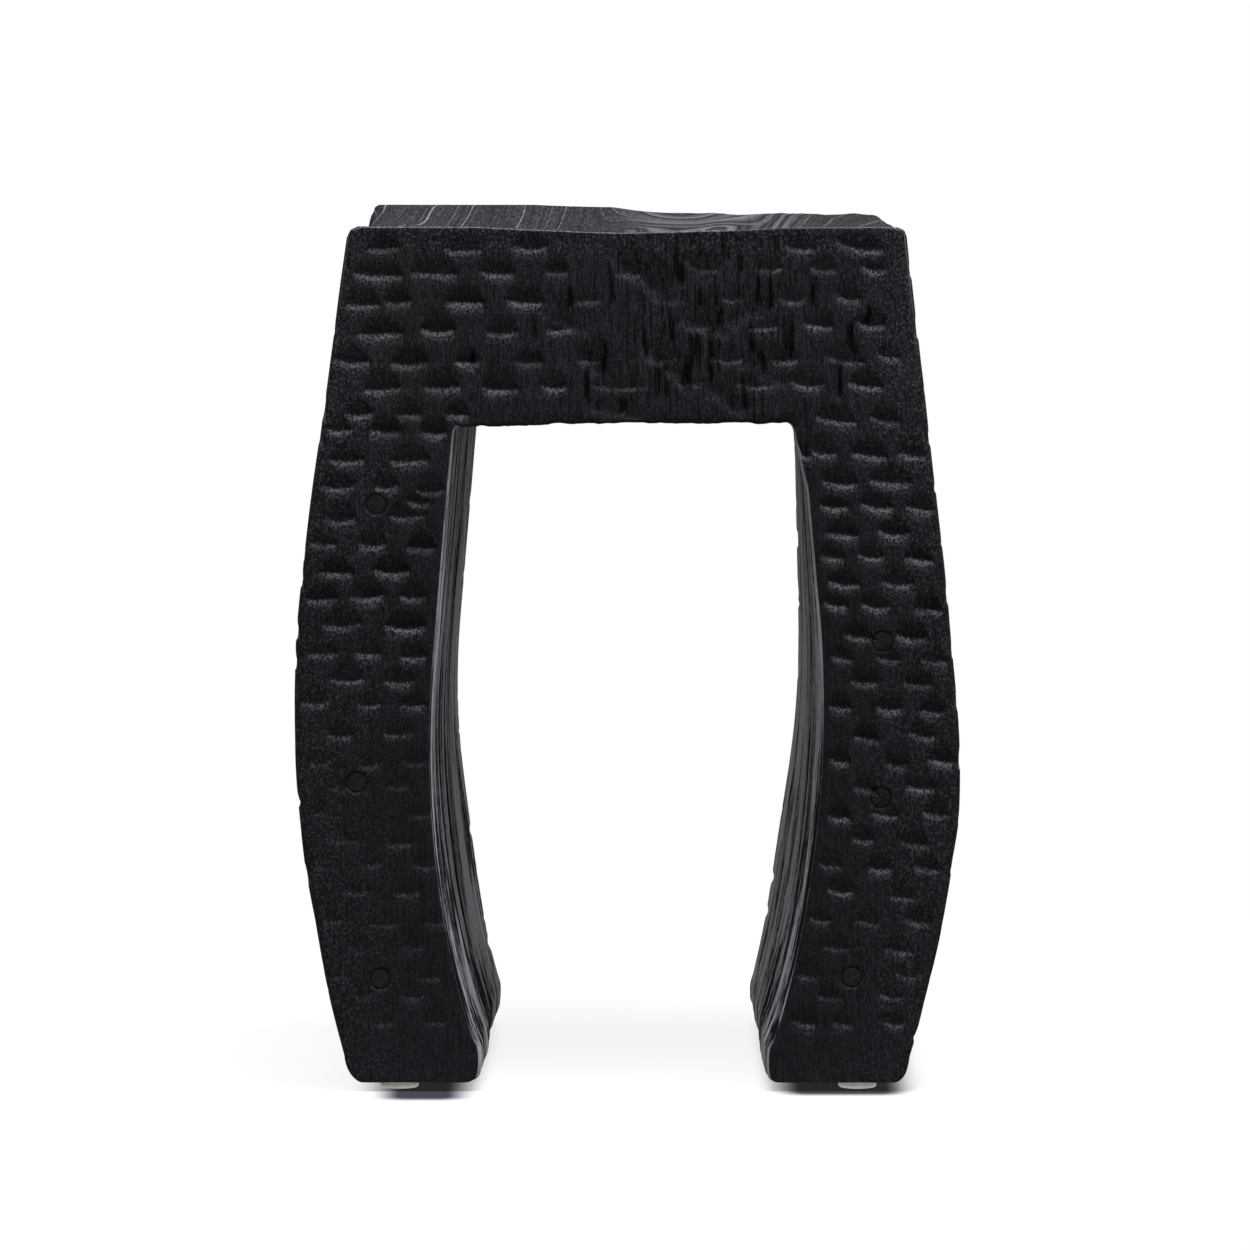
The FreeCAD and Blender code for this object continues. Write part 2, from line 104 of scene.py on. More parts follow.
def layered(u, v, seed):
    """Three octaves of noise, again between about -1 and 1."""
    total = 0
    for octave, size in enumerate((1.0, 0.5, 0.25)):
        total = total + noise(u / size, v / size, seed + octave) * size
    return total / 1.75


def step(x, low, high):
    t = np.clip((x - low) / (high - low), 0, 1)
    return t * t * (3 - 2 * t)


def bump(x, centre, width):
    return np.exp(-(((x - centre) / width) ** 2))


# Outlines


def long_edge(z, top, top_z, wide, wide_z, foot, foot_z, sole, roundness):
    """A straight run that touches a bow, with a rounded foot under it."""
    radius = ((wide - foot) ** 2 + (wide_z - foot_z) ** 2) / (2 * (wide - foot))
    centre = wide - radius
    reach = math.hypot(top - centre, top_z - wide_z)
    turn = math.atan2(top_z - wide_z, top - centre) - math.acos(radius / reach)
    meet_x, meet_z = centre + radius * math.cos(turn), wide_z + radius * math.sin(turn)
    bow = centre + np.sqrt(np.maximum(radius**2 - (z - wide_z) ** 2, 0))
    run = meet_x + (top - meet_x) * (z - meet_z) / (top_z - meet_z)
    rise = np.clip((z - SOLE) / (foot_z - SOLE), 0, 1)
    rounded = sole + (foot - sole) * (1 - (1 - rise) ** roundness) ** (1 / roundness)
    return np.where(z < foot_z, rounded, np.where(z < meet_z, bow, run))


def outer(leg, z, back):
    edge = long_edge(
        z, leg["top"], SEAT, leg["bulge"], leg["bulge_z"], leg["heel"], leg["heel_z"], leg["sole_out"],
        1.6,
    )
    return edge - BACK_NARROWING * back


def tunnel_edge(leg, z, knee, tunnel_z, mouth):
    edge = long_edge(
        z, knee, leg["knee_z"], leg["tunnel"], tunnel_z, leg["toe"], leg["toe_z"], leg["sole_in"], 3.5
    )
    throat = knee + (mouth - knee) * np.clip((z - leg["knee_z"]) / (MOUTH - leg["knee_z"]), 0, 1)
    return np.where(z > leg["knee_z"], throat, edge)


def tunnel(leg, z, back):
    front = tunnel_edge(leg, z, leg["knee"], leg["tunnel_z"], leg["mouth"])
    far = tunnel_edge(
        leg, z, leg.get("back_knee", leg["knee"]), leg.get("back_tunnel_z", leg["tunnel_z"]),
        leg.get("back_mouth", leg["mouth"]),
    )
    return front + (far - front) * back - leg["taper"] * back


def seat(x, y):
    """The height of the dished seat."""
    section = 1453.2 - np.sqrt(1013.2**2 - x**2)
    dish = 2040 - np.sqrt((2040 - section) ** 2 - y**2)
    back = (y + HALF_DEPTH) / (2 * HALF_DEPTH)
    blank = SEAT - BACK_DROP * back * np.clip((x + 140.5) / 280, 0, 1)
    return np.minimum(blank, dish)


def grid_point(i, k, j):
    """Where a grid point of the smooth form is."""
    y = np.interp(j, (0, *J_SEAMS, NJ), (-HALF_DEPTH, *SEAMS_Y, HALF_DEPTH))
    back = (y + HALF_DEPTH) / (2 * HALF_DEPTH)

    def columns(z):
        stops = [
            -outer(LEFT, z, back), -tunnel(LEFT, z, back), np.full_like(z, -LEFT["seam"]),
            np.full_like(z, RIGHT["seam"]), tunnel(RIGHT, z, back), outer(RIGHT, z, back),
        ]
        marks = (0, I_IN_L, I_SEAM_L, I_SEAM_R, I_IN_R, NI)
        x = stops[0].copy()
        for first, last, a, b in zip(marks, marks[1:], stops, stops[1:]):
            share = (i - first) / (last - first)
            x = np.where((i > first) & (i <= last), a + (b - a) * share, x)
        return x

    low = SOLE + (MOUTH - SOLE) * np.minimum(k, K_MOUTH) / K_MOUTH
    top = seat(columns(np.full_like(y, SEAT)), y)
    z = low + (top - MOUTH) * np.maximum(k - K_MOUTH, 0) / (NK - K_MOUTH)
    return np.stack([columns(z), y, z], 1)


# The grid's outer faces


def key(i, k, j):
    return (i * (NK + 1) + k) * (NJ + 1) + j


def cells(fixed, at, first, second, flip):
    """Quads on one plane of the grid; first and second are (axis, start, stop)."""
    (axis_a, a0, a1), (axis_b, b0, b1) = first, second
    a, b = np.meshgrid(np.arange(a0, a1), np.arange(b0, b1), indexing="ij")
    a, b = a.ravel(), b.ravel()
    corners = []
    for da, db in ((0, 0), (1, 0), (1, 1), (0, 1)):
        at_axis = {fixed: np.full_like(a, at), axis_a: a + da, axis_b: b + db}
        corners.append(key(at_axis["i"], at_axis["k"], at_axis["j"]))
    quads = np.stack(corners, 1)
    cell = {fixed: np.full_like(a, at), axis_a: a, axis_b: b}
    if flip:
        quads = quads[:, ::-1]
    return quads, cell


FULL_J, LOW_K, ALL_K = ("j", 0, NJ), ("k", 0, K_MOUTH), ("k", 0, NK)
LEGS_I = (("i", 0, I_IN_L), ("i", I_IN_R, NI))
APRON_K, SPAN_I = ("k", K_MOUTH, NK), ("i", I_IN_L, I_IN_R)
FACES = []
for plane, away in ((0, False), (NJ, True)):
    for part in LEGS_I:
        FACES.append(cells("j", plane, part, ALL_K, away))
    FACES.append(cells("j", plane, SPAN_I, APRON_K, away))
FACES.append(cells("i", 0, ALL_K, FULL_J, False))
FACES.append(cells("i", NI, ALL_K, FULL_J, True))
FACES.append(cells("i", I_IN_L, LOW_K, FULL_J, True))
FACES.append(cells("i", I_IN_R, LOW_K, FULL_J, False))
FACES.append(cells("k", NK, ("i", 0, NI), FULL_J, False))
FACES.append(cells("k", K_MOUTH, SPAN_I, FULL_J, True))
for part in LEGS_I:
    FACES.append(cells("k", 0, part, FULL_J, True))
# Which of them make up the front, the back and the soles
FRONT_FACES, BACK_FACES, SOLE_FACES = (0, 1, 2), (3, 4, 5), (12, 13)

quad_keys = np.concatenate([quads for quads, _ in FACES])
face_of = np.concatenate([np.full(len(quads), n) for n, (quads, _) in enumerate(FACES)])
cell_i = np.concatenate([cell["i"] for _, cell in FACES])
cell_j = np.concatenate([cell["j"] for _, cell in FACES])
keys, quads = np.unique(quad_keys, return_inverse=True)
quads = quads.reshape(-1, 4)
vi, vk, vj = keys // ((NK + 1) * (NJ + 1)), keys // (NJ + 1) % (NK + 1), keys % (NJ + 1)
points = grid_point(vi.astype(float), vk.astype(float), vj.astype(float))
COUNT = len(keys)


def worn_long_edges(points):
    """Rounds the two long edges of the seat, more towards the back."""
    x, y, z = points.T
    back = (y + HALF_DEPTH) / (2 * HALF_DEPTH)
    for sign, leg, stops, radii in (
        (-1, LEFT, (-150, -142, -128, -60, 70, 120, 150), (2.5, 8, 17, 20, 20, 18, 8)),
        (1, RIGHT, (-150, -142, -120, 100, 150), (2.5, 5, 8, 8, 7)),
    ):
        radius = np.interp(y, stops, radii)
        side = sign * x - outer(leg, z, back) + radius
        up = z - seat(x, y) + radius
        reach = np.hypot(side, up)
        beyond = (side > 0) & (up > 0) & (reach > radius)
        pull = np.where(beyond, radius / np.maximum(reach, 1e-6), 1)
        up_to = z + (pull - 1) * up
        x = np.where(beyond, sign * (outer(leg, up_to, back) - radius + side * pull), x)
        z = up_to
    return np.stack([x, y, z], 1)


points = worn_long_edges(points)
starts = quads.ravel()
ends = np.roll(quads, -1, axis=1).ravel()


def gather(index, values):
    """Adds up rows of values at each point."""
    return np.stack([np.bincount(index, values[:, n], COUNT) for n in range(values.shape[1])], 1)


# Worn arrises: the band beside each corner line is evened out
plane_count = (
    ((vj == 0) | (vj == NJ)).astype(int)
    + ((vi == 0) | (vi == NI))
    + (vk == NK)
    + (vk == 0)
    + (((vi == I_IN_L) | (vi == I_IN_R)) & (vk <= K_MOUTH))
    + ((vk == K_MOUTH) & (vi >= I_IN_L) & (vi <= I_IN_R))
)
near = plane_count > 1
arris = np.where(near, 0.0, 9.0)
for _ in range(4):
    near[starts[near[ends]]] = True
for _ in range(6):
    closer = np.full(COUNT, 9.0)
    np.minimum.at(closer, starts, arris[ends] + 1.1)
    arris = np.minimum(arris, closer)
soft = near[starts]
soft_starts, soft_ends = starts[soft], ends[soft]
neighbours = np.bincount(soft_starts, minlength=COUNT)[:, None]
crisp = (points[:, 1] < -HALF_DEPTH + 6) & (points[:, 2] > 440) & (np.abs(points[:, 0]) < 138)
ease = np.where(crisp, 0.06, np.where(points[:, 2] < 26, 0.16, 0.6))[:, None]
for _ in range(22):
    mean = gather(soft_starts, points[soft_ends]) / np.maximum(neighbours, 1)
    points[near] += (ease * (mean - points))[near]


def normals_of(points):
    a, b, c, d = (points[quads[:, n]] for n in range(4))
    across = np.cross(c - a, d - b)
    total = np.zeros((COUNT, 3))
    for n in range(4):
        total += gather(quads[:, n], across)
    return total / np.maximum(np.linalg.norm(total, axis=1), 1e-9)[:, None]


normals = normals_of(points)
x, y, z = points.T


# Carving. Each function gives a depth in millimetres, inwards.

# Gouge marks of the front: the height of each row, then place, offset from the row and width.
# A detector found most of them in the photograph, and they were corrected.
FRONT_MARKS = """
439: -126 0 16, -85 -1 20, -50 0 18, 89 0 14, 120 0 24
427: -129 -2 25, -100 -1 23, -67 -1 17, -37 0 13, 1 -1 13, 41 1 16, 73 1 15, 101 1 14, 127 1 14
412: -137 -2 18, -119 -1 14, -84 -1 18, -53 -1 18, -20 0 12, 21 0 18, 54 1 15, 85 0 14, 114 1 14
397: -128 -2 22, -98 -1 17, -65 -2 17, -35 0 15, 37 1 14, 70 1 16, 99 2 15, 126 2 16
381: -143 -1 18, -113 -2 18, -83 -1 13, -51 -1 14, -20 0 11, 17 0 18, 51 0 19, 81 0 15, 112 0 19, 135 2 13
367: -127 -1 20, -96 0 18, -66 -1 20, -38 0 13, -4 0 29, 31 2 17, 66 1 19, 93 1 18, 123 1 16
352: -139 1 15, -113 1 13, -88 1 12, 108 -2 20, 133 -2 15
344: -149 1 14, -125 0 16, -100 -1 13
331: -145 -2 19, -113 -2 19, 90 1 12, 101 2 16, 125 1 19, 147 1 16
316: -150 -1 16, -125 -1 13, -102 -3 15, 110 1 18, 136 2 20
306: -108 1 13, 107 -1 14, 129 -1 18, 152 -2 16
299: -149 -1 17, -114 1 17
291: 111 0 16, 138 0 16
285: -158 1 14, -132 0 15, -107 -1 14
279: 106 0 13, 126 0 13, 151 -1 14
271: -151 0 17, -122 0 17
265: 112 0 15, 140 0 16
256: -158 1 16, -135 2 17, -111 2 15, 108 -2 13, 128 -3 14, 156 -4 15
240: -148 3 20, -115 2 19, 119 -2 14, 147 -3 15
227: -158 2 16, -135 2 15, -111 0 14, 111 0 11, 135 -1 13, 159 -2 14
214: -146 1 18, -118 0 16, 123 0 14, 151 -1 14
201: -162 2 16, -134 1 12, -111 1 13, 110 0 12, 136 -1 14, 158 -2 13
186: -149 0 14, -119 1 15, 124 -1 14, 153 0 14
172: -160 0 12, -134 -1 13, -110 0 14, 110 1 11, 139 -1 12, 163 1 14
159: -148 0 15, -118 1 12, 123 0 12, 152 0 15
145: -160 1 12, -107 0 14, 110 -1 12, 134 0 14, 160 0 14
131: -147 1 16, -118 -1 14, 122 1 12, 149 -1 15
118: -158 0 13, -133 1 12, -105 0 13, 105 1 12, 131 -1 13, 156 -1 15
104: -141 1 13, -114 0 14, 111 1 13, 143 -2 14
89: -152 1 12, -126 -1 13, -100 0 12, 100 1 12, 125 0 13, 151 0 14
75: -139 0 13, -112 1 13, 108 1 14, 141 -1 14
61: -150 0 12, -103 -1 12, 94 0 12, 146 0 13
50: -138 1 12, -112 0 13, 105 0 13, 137 0 14
36: -128 0 12, -100 1 11, 92 0 12, 112 0 12, 138 0 12
"""
# Torn grain of the front: place, height of the middle, length and width
TEARS = (
    (25, 428, 17, 3.0), (28, 426, 15, 1.6), (51, 436, 9, 1.6), (20, 400, 21, 2.6), (23, 396, 14, 1.6),
    (47, 406, 19, 1.8), (38, 412, 10, 1.5), (64, 391, 15, 2.0), (69, 379, 14, 2.0), (84, 392, 22, 3.2),
    (35, 385, 21, 3.4), (43, 381, 30, 1.6), (17, 370, 20, 4.0), (-21, 368, 19, 2.0), (-3, 357, 9, 2.0),
    (60, 361, 14, 2.2), (110, 370, 20, 1.8), (116, 391, 18, 2.6), (74, 415, 22, 1.5), (67, 416, 16, 1.5),
    (96, 415, 17, 1.6), (-48, 398, 13, 1.5), (-80, 381, 11, 1.6), (-30, 412, 12, 1.5), (8, 392, 12, 1.5),
    (-8, 416, 12, 1.5), (58, 430, 10, 1.4), (124, 404, 12, 1.6), (31, 372, 16, 3.0), (-12, 382, 18, 2.0),
)
# Large slanting scoops of the apron: place, height, width, turn and depth
SCOOPS = (
    (7, 423, 44, -40, 1.9), (35, 429, 24, -40, 1.5), (19, 378, 34, -43, 1.7), (-18, 377, 26, -53, 1.5),
    (39, 398, 34, -18, 1.4), (-34, 402, 32, -22, 1.1), (63, 405, 34, 24, 1.3), (72, 374, 34, -30, 1.4),
    (-4, 353, 40, -12, 1.2), (50, 360, 36, -35, 1.3),
)
CRACK_X, CRACK_LOW, CRACK_HIGH = 92.6, 308.0, 363.0


def listed_marks():
    found = []
    for line in FRONT_MARKS.strip().splitlines():
        height, row = line.split(":")
        for entry in row.split(","):
            place, offset, width = (float(word) for word in entry.split())
            found.append((place, float(height) + offset, width))
    return found


def made_marks(seed, low, high, base, roof, pitch=29.0):
    """Rows of gouge marks like those of the front, for a face that can't be seen."""
    random = np.random.default_rng(seed)
    found, row, height = [], 0, roof
    while height > base:
        place = low + pitch * (0.25 if row % 2 else 0.75) + random.uniform(-3, 3)
        while place < high:
            found.append((place, height + random.uniform(-1.6, 1.6), random.uniform(12, 20)))
            place += pitch * random.uniform(0.88, 1.12)
        row += 1
        height -= random.uniform(12.8, 15.6)
    return found


def gouges(u, v, marks, seed, amount):
    """Pockets that deepen downwards and stop at a smile of torn fibres.

    Returns their depth, how strong the nearest one is and the distance above its lip."""
    depth, strong = np.zeros_like(u), np.zeros_like(u)
    lip = np.full_like(u, 9.0)
    random = np.random.default_rng(seed)
    for place, height, width in marks:
        half = width * random.uniform(0.5, 0.58)
        size = min(1.1, 0.5 + width / 30)
        strength = random.uniform(0.65, 1.15) * size
        run, fall = random.uniform(9, 11.5) * size, random.uniform(1.6, 2.2)
        bow, lean = random.uniform(0.5, 2.6) * size, random.uniform(-0.06, 0.06)
        lean -= 0.13 * (place > 85)
        hit = (np.abs(u - place) < half * 1.25) & (v > height - 10) & (v < height + run + 5)
        if not hit.any():
            continue
        du = (u[hit] - place) / half
        above = v[hit] - height - lean * (u[hit] - place) + 1.0 - bow * du**2
        narrow = 1 + 0.6 * np.clip(above / run, 0, 1)
        round_off = np.sqrt(np.clip(1 - np.abs(du * narrow) ** 2.4, 0, 1))
        upper = np.clip(1 - above / (run * round_off**0.5 + 0.01), 0, 1) ** 1.1
        lower = np.clip(1 + above / fall, 0, 1)
        shape = np.where(above > 0, upper, lower) * round_off**0.7
        near_by = strength * round_off * step(-above, -run, -1) * step(above, -8, -3)
        nearer = (near_by > strong[hit]) | (strong[hit] == 0)
        lip[hit] = np.where(nearer, above, lip[hit])
        strong[hit] = np.maximum(strong[hit], near_by)
        depth[hit] = np.maximum(depth[hit], 2.1 * strength * shape)
    return depth * amount, np.stack([strong * np.clip(amount, 0, 1), np.clip(lip, -9, 9)])


def fluted(u, v, seed):
    """Soft upright flutes and hollows between the marks."""
    broad = 0.45 * layered(u / 34, v / 46, seed)
    flutes = 0.32 * noise(u / 7.5, v / 60, seed + 3) + 0.14 * noise(u / 3.1, v / 34, seed + 4)
    return 0.75 + broad + flutes


def front_depth(x, z, tears):
    fade = np.where(x < 0, 0.25 + 0.75 * step(z, 150, 260), 0.5 + 0.5 * step(z, 60, 200))
    middle = step(z, 340, 360) * bump(x, 30, 66)
    depth, lips = gouges(x, z, listed_marks(), 11, fade * (1 - 0.75 * middle))
    depth = depth + fluted(x, z, 21)
    for place, height, width, turn, deep in SCOOPS:
        sine, cosine = math.sin(math.radians(turn)), math.cos(math.radians(turn))
        beside = ((x - place) * cosine + (z - height) * sine) / (width / 2)
        above = (z - height) * cosine - (x - place) * sine + 0.8 * noise(x / 5, z / 9, 45)
        hollow = np.where(above > 0, np.clip(1 - above / 15, 0, 1) ** 1.2, step(above, -5, 0))
        depth = depth + 1.25 * deep * hollow * np.clip(1 - beside**2, 0, 1)
    for place, height, length, width in TEARS:
        wander = place + 0.7 * noise(z / 7, np.full_like(z, place), 41)
        along = step(-np.abs(z - height), -length * 0.75, -length * 0.25)
        depth = depth + 1.1 * bump(x, wander, width * 0.5) * along * (1 + 0.5 * noise(x / 1.3, z / 12, 42))
        tears[...] = np.maximum(tears, bump(x, wander, width * 1.3) * along)
    crack = CRACK_X + 0.8 * noise(z / 9, z * 0, 43)
    open_part = step(z, CRACK_LOW, CRACK_LOW + 20) * step(-z, -CRACK_HIGH, -CRACK_HIGH + 8)
    depth = depth + 1.9 * bump(x, crack, 0.75) * open_part
    return depth * (0.25 + 0.75 * step(-z, -449, -441)), lips


# How far inside the even outline the carved outer sides lie at the front, by height
SIDE_TRIM = {
    -1: ((10, 60, 90, 120, 250, 450), (-0.8, -0.3, 0.3, -0.5, -0.4, -0.3)),
    1: ((10, 30, 46, 85, 124, 140, 250, 450), (-1.2, -0.5, 0.8, 1.9, 0.9, -0.4, -1.2, -1.2)),
}


def plain_depth(u, v, marks, seed):
    depth, lips = gouges(u, v, marks, seed, np.full_like(u, 0.9))
    return depth + fluted(u, v, seed + 10), lips


# Strong ridges of the tunnel's walls: depth, width and strength
RIDGES = {
    -1: ((-141, 5, 0.5), (-114, 8, 0.75), (-84, 6, 0.5), (-56, 9, 0.8), (-4, 8, 1.0), (30, 8, 0.4),
         (66, 8, 0.5), (86, 9, 0.75), (129, 9, 0.7)),
    1: ((-134, 8, 0.75), (-104, 7, 0.9), (-82, 6, 0.7), (18, 6, 0.75), (66, 10, 0.85), (92, 9, 0.9),
        (128, 8, 0.45)),
}


def ridge_depth(y, z, side, seed):
    """Brushed ridges that run up the tunnel's walls, and the teeth they make at the foot."""
    wander = y + 6 * layered(z / 120, y / 90, seed) + 1.2 * noise(z / 24, y / 14, seed + 4)
    strong = np.zeros_like(y)
    for place, width, strength in RIDGES[side]:
        swell = 0.75 + 0.4 * noise(z / 60, z * 0 + place, seed + 2)
        strong = np.maximum(strong, bump(wander, place, width * 0.75) * strength * swell)
    big = 0.5 + 0.5 * noise(wander / 11, z / 260, seed + 5)
    middle = 0.5 + 0.5 * noise(wander / 4.6, z / 200, seed + 6)
    fine = 0.5 + 0.5 * noise(wander / 2.1, z / 60, seed + 7)
    frayed = 0.5 + 0.5 * noise(wander / 1.6, z / 6, seed + 8)
    low = step(-z, -110, -25)
    crest = np.maximum(strong, (0.25 + 0.45 * low) * step(big, 0.4, 0.8))
    height = 0.55 * crest + 0.25 * step(middle, 0.2, 0.7) + 0.12 * fine + 0.08 * frayed
    crest = crest + 0.3 * (middle - 0.5) + 0.2 * (fine - 0.5)
    # The crest sets how pale the wall is painted, which is partly painted sheen: paler towards the back at
    # mid height, darker near the front low down
    crest = crest + 0.3 * step(y, -40, 90) * bump(z, 130, 110)
    crest = crest - 0.4 * bump(y, -122, 28) * step(-z, -230, -90)
    nicks = step(y, 118, 150) * step(layered(z / 9, y / 40, seed + 10), 0.1, 0.7)
    shallow = np.maximum(0.8 * step(y, 85, 150), 0.5 * step(-z, -70, -25))
    fuller = 2.7 * bump(z, 108, 52) * step(y, 20, 130)
    depth = 0.15 + 2.2 * (1 - height) * (1 - shallow) + 1.3 * nicks - fuller
    return depth, np.clip(crest, 0, 1)


def ring_place(x, y):
    """How far out a point of the seat is, counted over the growth rings."""
    lean = np.interp(x, (-60, 60, 130), (14, 20, 30)) * (y - 60) / (2 * HALF_DEPTH)
    across = x - 26 - lean + 1.2 * layered(x / 40, y / 150, 61)
    along = np.interp(y, (-150, 60, 150), (66, 52, 28)) * (1 - 0.9 * step(np.abs(across), 20, 62))
    return np.hypot(across, along + 2 * noise(x / 24, y / 50, 63)) + 0.4 * noise(x / 9, y / 45, 64)


# How far the hand-carved seat lies above the even one, along its front and its back edge
SEAT_FRONT = (
    (-100, -80, -60, -40, -20, 0, 20, 40, 60, 80, 100, 125),
    (0, -0.1, 0.5, 1.0, 0.3, -0.3, 0.6, 0.5, -0.9, -1.3, -0.6, -0.3),
)
SEAT_BACK = (
    (-120, -78, -50, -33, -20, -5, 5, 20, 33, 46, 60, 72, 85, 98, 108, 125, 132),
    (0.3, 1.0, 1.5, 1.7, 2.0, 0.7, -0.5, -1.7, -2.0, -1.6, -2.0, -1.3, -0.6, -0.9, -1.2, 0, -0.6),
)


def seat_depth(x, y):
    rings = ring_place(x, y)
    wave = 0.5 + 0.5 * noise(rings / 2.6, rings * 0 + 3, 65)
    fine = 0.5 + 0.5 * noise(rings / 1.3, x / 90, 66)
    relief = np.clip(0.65 * step(wave, 0.25, 0.75) + 0.35 * fine, 0, 1)
    hewn = (0.25 + 0.5 * layered(x / 38, y / 44, 67)) * step(-np.abs(y), -146, -110)
    front, far = np.interp(x, *SEAT_FRONT), np.interp(x, *SEAT_BACK)
    far = far + 0.4 + 0.8 * step(-x, -30, 10) + 0.5 * layered(x / 11, x * 0, 68)
    carved = np.where(y < 0, front, far) * (np.abs(y) / HALF_DEPTH) ** 1.3
    inner = step(-np.abs(y), -149, -136)
    return 0.05 + hewn + inner * 0.6 * (1 - relief) - carved, relief


def side_depth(on, side, seed, half):
    found, lips = plain_depth(y[on] * side, z[on], made_marks(seed, -148, 148, 20, 438), seed)
    trim = np.interp(z[on], *SIDE_TRIM[side]) * step(-y[on], 20, 130)
    return half * (found + trim), lips


facing = np.clip(normals, -1, 1)
outwards = facing[:, 0] * np.sign(x)
inside = (vi >= I_IN_L) & (vi <= I_IN_R) & (vk <= K_MOUTH)
weights = {
    "front": np.clip(-facing[:, 1], 0, 1) ** 3,
    "back": np.clip(facing[:, 1], 0, 1) ** 3,
    "side": np.where(inside, 0, np.clip(outwards, 0, 1) ** 3),
    "tunnel": np.where(z < MOUTH + 2, np.clip(-outwards, 0, 1) ** 3, 0),
    "top": np.where(z > 400, np.clip(facing[:, 2], 0, 1) ** 3, 0),
    "under": np.clip(-facing[:, 2], 0, 1) ** 3,
}
total = sum(weights.values()) + 1e-6
weights = {name: weight / total for name, weight in weights.items()}

depth, ledges, relief = np.zeros(COUNT), np.zeros(COUNT), np.full(COUNT, 0.5)
lip = np.full(COUNT, 9.0)


def carve(name, maker):
    on = weights[name] > 0.004
    found, extra = maker(on)
    depth[on] += weights[name][on] * found
    return on, extra


def lay_lips(name, on, lips, half=1):
    """Keeps a face's lips where they are stronger than what is there."""
    strong = lips[0] * half * weights[name][on]
    stronger = strong > ledges[on]
    ledges[on] = np.where(stronger, strong, ledges[on])
    lip[on] = np.where(stronger, lips[1], lip[on])


tears = np.zeros(int((weights["front"] > 0.004).sum()))
on, lips = carve("front", lambda on: front_depth(x[on], z[on], tears))
lay_lips("front", on, lips)
tear = np.zeros(COUNT)
tear[on] = tears * weights["front"][on]
on, lips = carve("back", lambda on: plain_depth(x[on], z[on], made_marks(71, -170, 170, 20, 436), 72))
lay_lips("back", on, lips)
for sign, seed in ((-1, 81), (1, 91)):
    half = np.sign(x) == sign
    on, lips = carve("side", lambda on: side_depth(on, sign, seed, half[on]))
    lay_lips("side", on, lips, half[on])
    on, crest = carve(
        "tunnel", lambda on: tuple(part * half[on] for part in ridge_depth(y[on], z[on], sign, seed + 5))
    )
    relief[on] += weights["tunnel"][on] * (crest - 0.5) * half[on]
on, crest = carve("top", lambda on: seat_depth(x[on], y[on]))
relief[on] += weights["top"][on] * (crest - 0.5)


def under_depth(on):
    beneath = 0.5 + 0.35 * layered(x[on] / 20, y[on] / 26, 101)
    beneath += step(-y[on], 132, 150) * (0.2 + 1.7 * layered(x[on] / 7.5, y[on] / 40, 102))
    lip = (0.3 + 1.9 * bump(x[on], -72, 26)) * step(-y[on], 100, 148)
    return np.where(z[on] < 60, 0.05, np.maximum(beneath, 0.1) - lip), None


carve("under", under_depth)

# A chip at the mouth's right corner
chip = np.hypot(x - 84, z - 348)
depth += 1.5 * np.exp(-((chip / 5) ** 2)) * step(-y, 120, 148)

depth = np.maximum(depth, -2.2)
offset = -normals * depth[:, None]
# Teeth that the ridges make along the inner edge of each sole
inner_edge = np.where(x < 0, -x - tunnel(LEFT, z, 0.5), x - tunnel(RIGHT, z, 0.5))
toothed = step(-z, -40, -9) * step(-inner_edge, -16, -5) * (z < 60)
saw = ((y + 9 * noise(y / 30, y * 0, 111)) / 19) % 1
offset[:, 0] += np.sign(x) * toothed * (2.6 * np.abs(saw - 0.35) - 2.4 * step(-y, -40, 60))
offset[np.isin(vj, J_SEAMS), 1] = 0
offset[np.isin(vi, (I_SEAM_L, I_SEAM_R)) & (vk >= K_MOUTH), 0] = 0
points = points + offset
points[:, 1:] = np.clip(points[:, 1:], (-HALF_DEPTH + 0.01, SOLE), (HALF_DEPTH - 0.01, SEAT - 0.01))
normals = normals_of(points)
ring_at = ring_place(points[:, 0], points[:, 1])
zones = np.stack([weights["tunnel"], weights["top"], ledges, np.clip(relief, 0, 1)], 1)


# Making pieces


def make_piece(name, verts, faces, material, attributes=None):
    """A smooth mesh piece, from points and arrays of faces, that stands in for the node called name."""
    mesh = bpy.data.meshes.new(name)
    loops = np.concatenate([np.asarray(part).ravel() for part in faces])
    sizes = np.concatenate([np.full(len(part), np.asarray(part).shape[1]) for part in faces])
    mesh.vertices.add(len(verts))
    mesh.vertices.foreach_set("co", (np.asarray(verts) * MM).ravel())
    mesh.loops.add(len(loops))
    mesh.loops.foreach_set("vertex_index", loops)
    mesh.polygons.add(len(sizes))
    mesh.polygons.foreach_set("loop_start", np.concatenate([[0], np.cumsum(sizes)[:-1]]))
    mesh.update(calc_edges=True)
    mesh.validate()
    mesh.polygons.foreach_set("use_smooth", np.ones(len(mesh.polygons), bool))
    for label, values in (attributes or {}).items():
        kind = "FLOAT_COLOR" if values.ndim == 2 else "FLOAT"
        layer = mesh.attributes.new(label, kind, "POINT")
        layer.data.foreach_set("color" if values.ndim == 2 else "value", values.ravel())
    mesh.materials.append(material)
    piece = bpy.data.objects.new(f"{name}_look", mesh)
    bpy.context.scene.collection.objects.link(piece)
    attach(piece, "root")
    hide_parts(name)


# Materials


